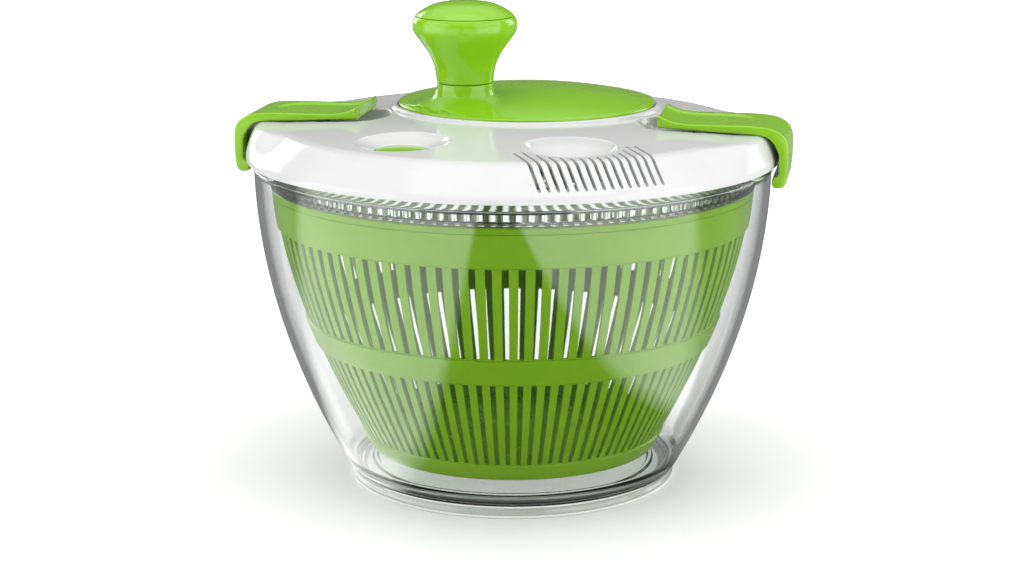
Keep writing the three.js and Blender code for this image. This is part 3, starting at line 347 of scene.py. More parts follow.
def finish(name):
    """The named finish, made the first time it is asked for."""
    if name not in FINISHES:
        makers = {
            # Polypropylene basket: lightly translucent, so light inside it shows through the wall.
            "green_polypropylene_moulded": lambda n: moulded_plastic(
                n, tint("basket_green"), 0.2, translucent=0.35, ior=1.49
            ),
            # ABS handles: opaque, bright, tool-polished gloss.
            "green_abs_gloss_moulded": lambda n: moulded_plastic(
                n, tint("handle_green"), 0.13, ior=1.53
            ),
            "white_abs_gloss_moulded": lambda n: moulded_plastic(
                n, tint("lid_white"), 0.1, ior=1.53
            ),
            # Thermoplastic elastomer ring: soft, matt, a little milky.
            "grey_tpe_moulded": lambda n: moulded_plastic(
                n, tint("foot_grey"), 0.55, grain_mm=0.5, grain_depth=0.05, translucent=0.3, ior=1.5
            ),
            "cream_acetal_moulded": lambda n: moulded_plastic(
                n, tint("acetal_cream"), 0.35, translucent=0.15, ior=1.48
            ),
            "black_nitrile_moulded": lambda n: moulded_plastic(
                n, tint("pad_grey"), 0.7, grain_mm=0.4, grain_depth=0.08, ior=1.52
            ),
            "clear_san_polished": lambda n: clear_plastic(n, tint("clear_tint"), 0.015),
            "clear_san_moulded": lambda n: clear_plastic(n, tint("clear_tint"), 0.05),
            "zinc_plated_steel": lambda n: plated_steel(n, tint("zinc")),
        }
        FINISHES[name] = makers[name](name)
    return FINISHES[name]


# ---- mesh tools ----------------------------------------------------------------------------------


def path_through(points, per_span=6):
    """A smooth open path through the given points."""
    p = np.array([points[0], *points, points[-1]], float)
    out = []
    for i in range(1, len(p) - 2):
        a, b, c, d = p[i - 1 : i + 3]
        for k in range(per_span):
            t = k / per_span
            bend, twist = 2 * a - 5 * b + 4 * c - d, 3 * b - a - 3 * c + d
            out.append(0.5 * (2 * b + (c - a) * t + bend * t**2 + twist * t**3))
    out.append(p[-2])
    return [tuple(q) for q in out]


def eased(corners, steps=4, closed=False):
    """A path with rounded corners. Each is (x, y) or (x, y, how far the rounding reaches)."""
    out = []
    count = len(corners)
    for i, corner in enumerate(corners):
        reach = corner[2] if len(corner) > 2 else 0
        here = np.array(corner[:2], float)
        if reach <= 0 or (not closed and i in (0, count - 1)):
            out.append(tuple(here))
            continue
        before = np.array(corners[i - 1][:2], float)
        after = np.array(corners[(i + 1) % count][:2], float)
        start = here + (before - here) * min(0.5, reach / max(np.linalg.norm(before - here), 1e-9))
        end = here + (after - here) * min(0.5, reach / max(np.linalg.norm(after - here), 1e-9))
        for k in range(steps + 1):
            t = k / steps
            out.append(tuple((1 - t) ** 2 * start + 2 * t * (1 - t) * here + t**2 * end))
    return out


def lathe(profile, segments, centre=(0, 0)):
    """Vertices and faces of a solid turned from a profile that is closed or runs axis to axis."""
    open_ended = profile[0][0] < 1e-6 and profile[-1][0] < 1e-6
    turn = np.arange(segments) * TURN / segments
    verts, rings = [], []
    for r, z in profile:
        if r < 1e-6:
            rings.append([len(verts)] * segments)
            verts.append((centre[0], centre[1], z))
        else:
            rings.append(list(range(len(verts), len(verts) + segments)))
            verts += [(centre[0] + r * math.cos(a), centre[1] + r * math.sin(a), z) for a in turn]
    faces = []
    pairs = list(zip(rings, rings[1:]))
    if not open_ended:
        pairs.append((rings[-1], rings[0]))
    for low, high in pairs:
        for k in range(segments):
            n = (k + 1) % segments
            corners = [low[k], low[n], high[n], high[k]]
            face = [v for i, v in enumerate(corners) if v not in corners[:i]]
            if len(face) > 2:
                faces.append(face)
    area = sum(a[0] * b[1] - b[0] * a[1] for a, b in zip(profile, [*profile[1:], profile[0]]))
    if area < 0:
        faces = [f[::-1] for f in faces]
    return verts, faces


def turned(corners, steps, segments, centre=(0, 0), closed=True):
    """A solid turned from a profile whose corners are rounded."""
    return lathe(eased(corners, steps, closed), segments, centre)


def pierced_wall(outer, inner, angles, is_open):
    """A closed wall between two stacks of rings, open where is_open(row, column) says."""
    columns, rows = len(angles), len(outer) - 1
    verts = []
    for stack in (outer, inner):
        for r, z in stack:
            verts += [(r * math.cos(a), r * math.sin(a), z) for a in angles]
    faces = []

    def at(side, row, column):
        return (side * len(outer) + row) * columns + column % columns

    def solid(row, column):
        return 0 <= row < rows and not is_open(row, column % columns)

    def face(*corners):
        faces.append(tuple(at(*corner) for corner in corners))

    for row in range(rows):
        for c in range(columns):
            if not solid(row, c):
                continue
            up, on = row + 1, c + 1
            face((0, row, c), (0, row, on), (0, up, on), (0, up, c))
            face((1, row, on), (1, row, c), (1, up, c), (1, up, on))
            if not solid(row, c - 1):
                face((1, row, c), (0, row, c), (0, up, c), (1, up, c))
            if not solid(row, on):
                face((0, row, on), (1, row, on), (1, up, on), (0, up, on))
            if not solid(row - 1, c):
                face((1, row, c), (1, row, on), (0, row, on), (0, row, c))
            if not solid(up, c):
                face((0, up, c), (0, up, on), (1, up, on), (1, up, c))
    used = sorted({v for f in faces for v in f})
    new = {v: i for i, v in enumerate(used)}
    return [verts[v] for v in used], [tuple(new[v] for v in f) for f in faces]


def both(*shells):
    """Several closed shells as one mesh."""
    verts, faces = [], []
    for part_verts, part_faces in shells:
        start = len(verts)
        verts += [tuple(v) for v in part_verts]
        faces += [tuple(start + v for v in f) for f in part_faces]
    return verts, faces


def circle(radius, count, centre=(0, 0), turn=0.0):
    a = np.arange(count) * TURN / count + turn
    return np.stack([centre[0] + radius * np.cos(a), centre[1] + radius * np.sin(a)], 1)


def skin(points, lines, keep, place):
    """A sheet triangulated in its own flat plan, then laid out in space.

    points is an array of plan points, lines a list of (array, closed) that the mesh's edges follow,
    keep(centres) says which triangles stay, and place(u, v) gives x, y and z.
    Returns plan points, places, normals and triangles.
    """
    spread = [points]
    edges, at = [], len(points)
    for line, closed in lines:
        spread.append(line)
        count = len(line)
        edges += [(at + i, at + (i + 1) % count) for i in range(count if closed else count - 1)]
        at += count
    plan = np.concatenate(spread)
    made = delaunay_2d_cdt([Vector(p) for p in plan], edges, [], 0, 1e-5, False)
    plan = np.array([tuple(v) for v in made[0]])
    tris = np.array([f for f in made[2] if len(f) == 3])
    corner = plan[tris]
    first, second = corner[:, 1] - corner[:, 0], corner[:, 2] - corner[:, 0]
    cross = first[:, 0] * second[:, 1] - first[:, 1] * second[:, 0]
    tris[cross < 0] = tris[cross < 0][:, ::-1]
    tris = tris[np.abs(cross) > 1e-7]
    tris = tris[keep(plan[tris].mean(1))]
    used = np.unique(tris)
    new = np.zeros(len(plan), int)
    new[used] = np.arange(len(used))
    plan, tris = plan[used], new[tris]
    u, v = plan.T
    step = 0.05
    spot = np.stack(place(u, v), 1)
    du = np.stack(place(u + step, v), 1) - np.stack(place(u - step, v), 1)
    dv = np.stack(place(u, v + step), 1) - np.stack(place(u, v - step), 1)
    normal = np.cross(du, dv)
    normal /= np.maximum(np.linalg.norm(normal, axis=1), 1e-12)[:, None]
    return plan, spot, normal, tris


def thickened(spot, normal, tris, depth, lowest=-math.inf):
    """A closed shell: the sheet, a copy set back by depth, and walls along every edge."""
    count = len(spot)
    under = spot - normal * depth
    under[:, 2] = np.maximum(under[:, 2], lowest)
    edges = {(t[i], t[(i + 1) % 3]): True for t in tris for i in range(3)}
    faces = [tuple(t) for t in tris] + [tuple(t[::-1] + count) for t in tris]
    faces += [(b, a, a + count, b + count) for a, b in edges if (b, a) not in edges]
    return [tuple(v) for v in np.concatenate([spot, under])], faces


def thinned(points, lines, gap):
    """Plan points that lie at least gap away from every point on the lines."""
    fixed = np.concatenate([line for line, _ in lines])
    tree = KDTree(len(fixed))
    for k, p in enumerate(fixed):
        tree.insert((p[0], p[1], 0), k)
    tree.balance()
    return np.array([p for p in points if tree.find((p[0], p[1], 0))[2] > gap])


def show(name, shell, material, body, replaces=(), sharp=32, normals=None):
    """Writes a mesh in metres, gives it its finish and lets it ride on its body."""
    verts, faces = shell
    mesh = bpy.data.meshes.new(name)
    places = [(x * MM, y * MM, z * MM) for x, y, z in verts]
    mesh.from_pydata(places, [], [tuple(map(int, f)) for f in faces])
    mesh.shade_smooth()
    mesh.set_sharp_from_angle(angle=math.radians(sharp))
    if normals is not None:
        # Corners on the top skin take its worked-out normals, and the others keep their own.
        held = np.zeros(len(mesh.loops) * 3, np.float32)
        mesh.corner_normals.foreach_get("vector", held)
        held = held.reshape(-1, 3)
        index = np.zeros(len(mesh.loops), np.int32)
        mesh.loops.foreach_get("vertex_index", index)
        corners = np.zeros(len(mesh.polygons), np.int32)
        mesh.polygons.foreach_get("loop_total", corners)
        known = np.repeat(corners == 3, corners) & (index < len(normals))
        held[known] = normals[index[known]]
        mesh.normals_split_custom_set([tuple(n) for n in held])
    made = bpy.data.objects.new(name, mesh)
    bpy.context.scene.collection.objects.link(made)
    made.data.materials.append(finish(material))
    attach(made, body)
    if replaces:
        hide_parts(*replaces)
    return made


def show_green(name, shell, body, node, sharp=40, normals=None):
    """Shows a piece moulded in the handles' green."""
    finish_name = "green_abs_gloss_moulded"
    return show(name, shell, finish_name, body, [node], sharp, normals)


def softer_max(a, b, blend):
    """The greater of two heights, rounded where they cross."""
    h = np.clip(0.5 + 0.5 * (a - b) / blend, 0, 1)
    return b + (a - b) * h + blend * h * (1 - h)


def softer_min(a, b, blend):
    return -softer_max(-a, -b, blend)


def table(x, rows):
    """Reads a table of (x, y) rows, which rise in x."""
    return np.interp(x, [r[0] for r in rows], [r[1] for r in rows])


# ---- bowl and foot -------------------------------------------------------------------------------

FLOOR_Z = 6.0  # underside of the bowl's floor
FLARE_Z = FLOOR_Z + 1.5
FLARE_R = FOOT_R + 1.6


def bowl_radius(z):
    """The bowl's outside, a parabola that is upright at the rim."""
    t = (z - FLARE_Z) / (RIM_Z - FLARE_Z)
    return FLARE_R + (RIM_R - FLARE_R) * (1 - (1 - t) ** 2)


def bowl_shell():
    wall = mm("bowl_wall")
    heights = FLARE_Z + 1.2 + (RIM_Z - 7 - FLARE_Z) * np.linspace(0, 1, 44) ** 1.15
    outside = [(bowl_radius(z), z) for z in heights]
    inside = [(r - wall * 1.08, z) for r, z in outside if z > FLOOR_Z + wall + 3][::-1]
    bead = eased(
        [
            outside[-1], (RIM_R, RIM_Z - 6.2, 1.0), (BEAD_R, RIM_Z - 4.4, 1.2),
            (BEAD_R, RIM_Z, 1.0), (RIM_R - wall, RIM_Z, 0.8), (RIM_R - wall * 1.08, RIM_Z - 6),
        ],
        5,
    )[1:]
    foot = eased(
        [
            (FOOT_R - wall, FLOOR_Z, 0.8), (FOOT_R - wall, BOWL_FOOT_Z, 0.7),
            (FOOT_R, BOWL_FOOT_Z, 0.9), (FOOT_R, FLARE_Z - 0.6, 1.0),
            (FLARE_R + 0.2, FLARE_Z + 0.6, 0.8), outside[0],
        ],
        5,
    )[1:-1]
    under = [(0, FLOOR_Z), (30, FLOOR_Z), (60, FLOOR_Z), (FOOT_R - wall - 1.2, FLOOR_Z)]
    top = FLOOR_Z + wall
    floor = eased(
        [
            inside[-1], (FLARE_R - wall - 3.6, top, 2.6), (FLARE_R - wall - 9.0, top, 0.5),
            (FLARE_R - wall - 9.6, top + 0.7, 0.4), (FLARE_R - wall - 11.4, top + 0.7, 0.4),
            (FLARE_R - wall - 12.0, top, 0.5), (40, top, 0), (12, top, 2), (4.2, top + 2.4, 1.5),
            (4, 16.6, 0.4), (3, 17.4, 0.5), (0, 17.5),
        ],
        4,
    )[1:]
    return lathe([*under, *foot, *outside, *bead, *inside, *floor], BOWL_SIDES)


def foot_ring_shell():
    wall = mm("bowl_wall")
    lip = FOOT_R - wall - 0.3
    inner = FOOT_R - 5.2
    ridges = []
    # Three small ridges under the ring give the grip.
    for r in np.linspace(inner + 0.9, FOOT_R - 0.9, 3):
        ridges += [(r - 0.5, 0.35), (r - 0.2, 0), (r + 0.2, 0), (r + 0.5, 0.35)]
    profile = [
        (inner, 0.5), *ridges, (FOOT_R, 0.5), (FOOT_R, 1.5), (lip, 1.6), (lip, FOOT_TOP_Z - 0.3),
        (lip - 0.4, FOOT_TOP_Z), (inner + 0.3, FOOT_TOP_Z), (inner, FOOT_TOP_Z - 0.3),
    ]
    return lathe(profile, BOWL_SIDES)


class SPINNER_OT_bowl(bpy.types.Operator):
    """Clear bowl with its rim bead, foot and the pip that the basket turns on"""

    bl_idname = "spinner.bowl"
    bl_label = "Bowl"

    def execute(self, context):
        shell = bowl_shell()
        show("bowl_clear", shell, "clear_san_polished", "bowl", ["bowl"], 40)
        return {"FINISHED"}


class SPINNER_OT_foot(bpy.types.Operator):
    """Soft non-slip ring under the bowl"""

    bl_idname = "spinner.foot"
    bl_label = "Foot ring"

    def execute(self, context):
        shell, slot = foot_ring_shell(), "soft_grey_rubber"
        show("foot_ring_soft", shell, "grey_tpe_moulded", "bowl", ["foot_ring"])
        return {"FINISHED"}


# ---- basket --------------------------------------------------------------------------------------

BASKET_BASE_R = 71.4
LOW_SLOTS = (26.0, 70.4)
HIGH_SLOTS = (84.2, 128.9)


def basket_radius(z):
    t = np.clip((z - BASKET_BASE_Z) / (BASKET_TOP_Z - BASKET_BASE_Z), 0, 1)
    return BASKET_BASE_R + (BASKET_TOP_R - BASKET_BASE_R) * (1 - (1 - t) ** 1.62)


def basket_shell():
    wall, recess = mm("basket_wall"), mm("bar_recess")
    count, share = sizes().basket_slots, sizes().slot_share
    steps = [0, share / 2, share, share + (1 - share) * 0.33, share + (1 - share) * 0.67]
    angles = [(i + s) * TURN / count for i in range(count) for s in steps]
    rows, open_rows = [], set()

    def band(z0, z1, n):
        rows.extend((basket_radius(z), z) for z in np.linspace(z0, z1, n))

    def slots(z0, z1, n):
        rows.append((basket_radius(z0 - 0.5) - recess, z0 - 0.4))
        start = len(rows)
        rows.extend((basket_radius(z) - recess, z) for z in np.linspace(z0, z1, n))
        open_rows.update(range(start, start + n - 1))
        rows.append((basket_radius(z1 + 0.5) - recess, z1 + 0.4))

    rows.append((basket_radius(BASKET_BASE_Z) - 0.9, BASKET_BASE_Z))
    rows.append((basket_radius(BASKET_BASE_Z + 0.3) - 0.2, BASKET_BASE_Z + 0.3))
    band(BASKET_BASE_Z + 0.9, LOW_SLOTS[0] - 1.2, 4)
    slots(*LOW_SLOTS, 9)
    band(LOW_SLOTS[1] + 0.9, HIGH_SLOTS[0] - 0.9, 4)
    slots(*HIGH_SLOTS, 9)
    band(HIGH_SLOTS[1] + 0.9, BASKET_TOP_Z - 3.4, 6)
    rows += [
        (BASKET_TOP_R - 0.55, BASKET_TOP_Z - 3.2), (BASKET_TOP_R - 0.1, BASKET_TOP_Z - 2.9),
        (BASKET_TOP_R, BASKET_TOP_Z - 0.5), (BASKET_TOP_R - 0.4, BASKET_TOP_Z),
    ]
    inner = [(min(basket_radius(z) - wall, r - 0.9), z) for r, z in rows]
    return pierced_wall(rows, inner, angles, lambda row, column: row in open_rows and column % 5 < 2)


def basket_floor():
    """The floor: rings of small drain holes round a raised hub that hides the pivot cup."""
    edge = BASKET_BASE_R - 1.2
    hub_r = 10.4
    rings = [(r, round(TURN * r / 9.5)) for r in (22, 31, 40, 49, 58)] + [(65.5, 72)]
    hole_r = 1.9
    lines = [(circle(edge, 144), True), (circle(hub_r, HUB_SIDES), True)]
    holes = []
    for k, (r, count) in enumerate(rings):
        for centre in circle(r, count, turn=0.5 * (k % 2) * TURN / count):
            holes.append(centre)
            lines.append((circle(hole_r, 10, centre), True))
    holes = np.array(holes)
    between = (14, 18, 26.5, 35.5, 44.5, 53.5, 61.8)
    points = np.concatenate([circle(r, max(12, int(r))) for r in between])
    points = thinned(points, lines, 1.0)

    def keep(c):
        near = np.sqrt(((c[:, None] - holes[None]) ** 2).sum(2)).min(1)
        r = np.hypot(*c.T)
        return (near > hole_r * 0.96) & (r < edge) & (r > hub_r * 0.99)

    def place(u, v):
        return u, v, 0 * u + BASKET_BASE_Z + 2.2

    _, spot, normal, tris = skin(points, lines, keep, place)
    plate = thickened(spot, normal, tris, 2.1)
    top = 26.4
    hub = turned(
        [
            (hub_r - 2.0, BASKET_BASE_Z + 0.1), (hub_r + 1.0, BASKET_BASE_Z + 0.1),
            (hub_r + 0.6, BASKET_BASE_Z + 2.6, 1.4), (hub_r, top - 0.2, 1.2), (0, top),
            (0, top - 2), (hub_r - 2.2, top - 2.2),
        ],
        4,
        HUB_SIDES,
        closed=False,
    )
    return both(plate, hub)


class SPINNER_OT_basket(bpy.types.Operator):
    """Slotted green basket with two rows of bars, its plain bands and its floor"""

    bl_idname = "spinner.basket"
    bl_label = "Basket"

    def execute(self, context):
        shell, name = both(basket_shell(), basket_floor()), "green_polypropylene_moulded"
        show("basket_slotted", shell, name, "basket", ["basket"])
        return {"FINISHED"}


# ---- basket cover --------------------------------------------------------------------------------


def cover_shell():
    count = sizes().cover_windows
    angles = [(i + s) * TURN / count for i in range(count) for s in (0, 0.25, 0.5, 0.75)]
    base = BASKET_TOP_Z + 0.3
    rows = [
        (COVER_R - 0.3, base), (COVER_R, base + 0.3), (COVER_R, base + 0.7), (COVER_R, base + 1.5),
        (COVER_R, base + 2.1), (COVER_R - 0.5, base + 2.3), (COVER_R - 0.5, base + 7.1),
        (COVER_R, base + 7.3), (COVER_R, COVER_TOP_Z - 0.5), (COVER_R - 0.5, COVER_TOP_Z),
    ]
    inner = [(COVER_R - 2.4, z) for _, z in rows]

    def is_open(row, column):
        return (row == 5 and column % 4 < 2) or (row == 2 and column % 4 >= 2)

    skirt = pierced_wall(rows, inner, angles, is_open)
    plate_rows = [(r, COVER_TOP_Z - 2) for r in (12, 46, 66, 72, 92, 98, 111, COVER_R - 2.2)]
    plate = pierced_wall(
        plate_rows,
        [(r, COVER_TOP_Z - 0.2) for r, _ in plate_rows],
        [i * TURN / 240 for i in range(240)],
        lambda row, column: row in (1, 3, 5) and column % 4 < 2,
    )
    lip = BASKET_TOP_R - 3.2
    spigot = turned(
        [
            (lip - 1.6, BASKET_TOP_Z - 3, 0.3), (lip, BASKET_TOP_Z - 3, 0.5), (lip, base, 0),
            (COVER_R - 2.3, base, 0), (COVER_R - 2.3, base + 1.6, 0.3),
            (lip - 1.6, base + 1.6, 0.3),
        ],
        3, 144,
    )
    hub = turned(
        [
            (10.2, COVER_TOP_Z - 2.2, 0), (13.4, COVER_TOP_Z - 2.2, 0),
            (14, COVER_TOP_Z + 6.8, 0.6), (10.2, COVER_TOP_Z + 6.8, 0.4),
        ],
        3,
        HUB_SIDES,
    )
    return both(skirt, plate, spigot, hub)


class SPINNER_OT_cover(bpy.types.Operator):
    """Clear basket cover with its windowed skirt and its plate"""

    bl_idname = "spinner.cover"
    bl_label = "Basket cover"

    def execute(self, context):
        shell, slot = cover_shell(), "clear_plastic"
        show("cover_clear", shell, "clear_san_moulded", "drive", ["basket_cover"])
        return {"FINISHED"}


# ---- lid -----------------------------------------------------------------------------------------

SHOULDER_R = LID_R - 17
PLATEAU_R = LID_R - 19.4  # inside this the lid's plan is the skin's plan
SIDE_SPAN = 36.0  # plan width that the lid's side takes up in the skin's plan
COLLAR_TOP_Z = LID_CROWN_Z + 1.1
COLLAR_R = DISC_R + 3.9
LEDGE_R = DISC_R - 1.6
CRANK_HOLE_R = 6.25
FUNNEL_HOLE_R = 9.0
RIM_LAND, SKIRT_GAP = 2.8, 0.5  # the rim's width, and the skirt's clearance inside it
DISH_SIDES = 120
VENT_START_R, VENT_END_INSET = 88.0, 2.7
FUNNEL_X, FUNNEL_Y = -BUTTON_X, BUTTON_Y
SLEEVE_R = BUTTON_R + 0.4
RECESS_FLOOR_Z = PIVOT_Z - 3.8
RECESS_X = LATCH_TIP_R + 3
RECESS_HALF = LATCH_HALF_W + 0.9
RECESS_OUT = PIVOT_R + 4.6 - RECESS_X


def plateau_z(r):
    return LID_CROWN_Z - 3.2 * (r / SHOULDER_R) ** 2


def side_curves():
    """The lid's side as (radius, height), plateau's edge to lip: plain, and beside a latch."""
    top = plateau_z(PLATEAU_R)
    low = LID_LIP_Z
    plain = [
        (PLATEAU_R, top), (LID_R - 15.4, low + 14.4), (LID_R - 12.2, low + 11.9),
        (LID_R - 6.0, low + 7.5), (LID_R - 1.6, low + 4.1), (LID_R - 0.3, low + 2.6),
        (LID_R, low + 1.6), (LID_R, low),
    ]
    beside = [
        (PLATEAU_R, top), (LID_R - 8.6, low + 15.6), (LID_R - 5.4, low + 14.7),
        (LID_R - 3.6, low + 12.9), (LID_R - 1.7, low + 8.6), (LID_R - 0.3, low + 4.2),
        (LID_R, low + 2.4), (LID_R, low),
    ]
    return np.array(path_through(plain, 7)), np.array(path_through(beside, 7))


PLAIN_SIDE, EAR_SIDE = side_curves()
SIDE_SHARE = np.linspace(0, 1, len(PLAIN_SIDE))


def ear(angle):
    """1 beside a latch and 0 away from it."""
    off = np.degrees(np.abs(np.arcsin(np.sin(angle))))
    t = np.clip((off - 19) / 14, 0, 1)
    return 1 - t * t * (3 - 2 * t)


def collar_height(d):
    """The crank's well, its ledge and the raised collar, by distance from the disc's middle."""
    top = COLLAR_TOP_Z
    return table(
        d,
        [
            (0, WELL_FLOOR_Z), (LEDGE_R - 0.5, WELL_FLOOR_Z), (LEDGE_R, top - 1.2),
            (DISC_R + 0.5, top - 1.2), (DISC_R + 0.7, top - 0.5), (DISC_R + 1.1, top - 0.1),
            (DISC_R + 1.9, top), (DISC_R + 2.7, top - 0.15), (DISC_R + 3.4, top - 0.7),
            (COLLAR_R, top - 1.8), (COLLAR_R + 0.5, top - 7), (COLLAR_R + 0.9, top - 30),
        ],
    )


def brake_dish_height(d):
    rim = plateau_z(math.hypot(BUTTON_X, BUTTON_Y))
    edge = mm("dish_radius")
    return table(
        d,
        [
            (SLEEVE_R, BUTTON_TOP_Z - 1.1), (SLEEVE_R + 0.5, BUTTON_TOP_Z - 0.7),
            (edge - 5.4, rim - 2.6), (edge - 2.4, rim - 1.5), (edge - 0.9, rim - 0.6),
            (edge + 0.3, rim + 0.8), (edge + 3, rim + 8),
        ],
    )


def funnel_dish_height(d):
    rim = plateau_z(math.hypot(BUTTON_X, BUTTON_Y))
    edge = mm("dish_radius")
    return table(
        d,
        [
            (FUNNEL_HOLE_R, rim - 14.2), (9.3, rim - 12), (10.6, rim - 10.6), (14.4, rim - 7.6),
            (edge - 4.6, rim - 4.6), (edge - 2.4, rim - 2.9), (edge - 0.9, rim - 1.2),
            (edge + 0.3, rim + 0.6), (edge + 3, rim + 8),
        ],
    )


def recess_edge(angle):
    """The finger recess's outline about its middle: half an ellipse, then a box under the latch."""
    c, s = np.cos(angle), np.sin(angle)
    oval = 1 / np.sqrt((c / 15) ** 2 + (s / RECESS_HALF) ** 2)
    square = 1 / np.maximum(np.maximum(c / RECESS_OUT, np.abs(s) / RECESS_HALF), 1e-9)
    return np.where(c < 0, oval, square)


def recess_height(g):
    """The recess by distance outside its outline: a soft scoop down to a flat floor."""
    return table(
        g,
        [
            (-9, RECESS_FLOOR_Z), (-6, RECESS_FLOOR_Z + 0.5), (-3.4, RECESS_FLOOR_Z + 2.0),
            (-1.4, RECESS_FLOOR_Z + 4.2), (0.2, RECESS_FLOOR_Z + 6.8), (3, RECESS_FLOOR_Z + 14),
        ],
    )


def lid_place(u, v):
    """Lays the lid skin's plan out in space."""
    plan_r, angle = np.hypot(u, v), np.arctan2(v, u)
    share = np.clip((plan_r - PLATEAU_R) / SIDE_SPAN, 0, 1)
    beside = ear(angle)
    r = np.where(
        plan_r < PLATEAU_R,
        plan_r,
        np.interp(share, SIDE_SHARE, PLAIN_SIDE[:, 0]) * (1 - beside)
        + np.interp(share, SIDE_SHARE, EAR_SIDE[:, 0]) * beside,
    )
    z = np.where(
        plan_r < PLATEAU_R,
        plateau_z(plan_r),
        np.interp(share, SIDE_SHARE, PLAIN_SIDE[:, 1]) * (1 - beside)
        + np.interp(share, SIDE_SHARE, EAR_SIDE[:, 1]) * beside,
    )
    x, y = r * np.cos(angle), r * np.sin(angle)
    for side in (-1, 1):
        dx = side * x - RECESS_X
        g = np.hypot(dx, y) - recess_edge(np.arctan2(y, dx))
        # Beside the latch the walls stand nearly upright, so that it can rock between them.
        steep = 1 + 5 * np.clip((dx + 12) / 8, 0, 1)
        g = g * np.where(g < 0, steep, 1)
        z = softer_min(z, recess_height(g), 1.0)
    z = softer_min(z, brake_dish_height(np.hypot(x - BUTTON_X, y - BUTTON_Y)), 0.9)
    z = softer_min(z, funnel_dish_height(np.hypot(x - FUNNEL_X, y - FUNNEL_Y)), 0.9)
    d = np.hypot(x, y - DISC_Y)
    collar = collar_height(d)
    z = np.where(d < DISC_R + 2, collar, softer_max(z, collar, 0.7))
    return x, y, z


def plan_radius(r):
    """The skin plan's radius of a point on the plain part of the lid's side."""
    r = np.asarray(r, float)
    share = np.interp(r, PLAIN_SIDE[:, 0], SIDE_SHARE)
    return np.where(r < PLATEAU_R, r, PLATEAU_R + share * SIDE_SPAN)


DRAIN_ANGLE = math.atan2(FUNNEL_Y, FUNNEL_X)
DISH_REACH = math.hypot(BUTTON_X, BUTTON_Y)


def vent_lines():
    """Each drain slot as (sideways offset, start, end) along the direction of the funnel."""
    edge = mm("dish_radius") + 1.8
    first = -(sizes().vent_count - 1) * mm("vent_pitch") / 2
    out = []
    for i in range(sizes().vent_count):
        side = first + i * mm("vent_pitch")
        start = VENT_START_R
        if abs(side) < edge:
            start = max(start, DISH_REACH + math.sqrt(edge**2 - side**2))
        out.append((side, start, math.sqrt((LID_R - VENT_END_INSET) ** 2 - side**2)))
    return out


def vent_outline(side, start, end):
    """One slot's rounded outline in the skin's plan."""
    half = mm("vent_width") / 2
    n = max(4, int((end - start) / 1.6))
    along = np.linspace(start + half, end - half, n)
    cap = np.linspace(-math.pi / 2, math.pi / 2, 5)[1:-1]
    pts = [(a, side - half) for a in along]
    pts += [(end - half + half * math.cos(c), side + half * math.sin(c)) for c in cap]
    pts += [(a, side + half) for a in along[::-1]]
    pts += [(start + half - half * math.cos(c), side - half * math.sin(c)) for c in cap]
    pts = np.array(pts)
    c, s = math.cos(DRAIN_ANGLE), math.sin(DRAIN_ANGLE)
    x, y = pts[:, 0] * c - pts[:, 1] * s, pts[:, 0] * s + pts[:, 1] * c
    k = plan_radius(np.hypot(x, y)) / np.hypot(x, y)
    return np.stack([x * k, y * k], 1)


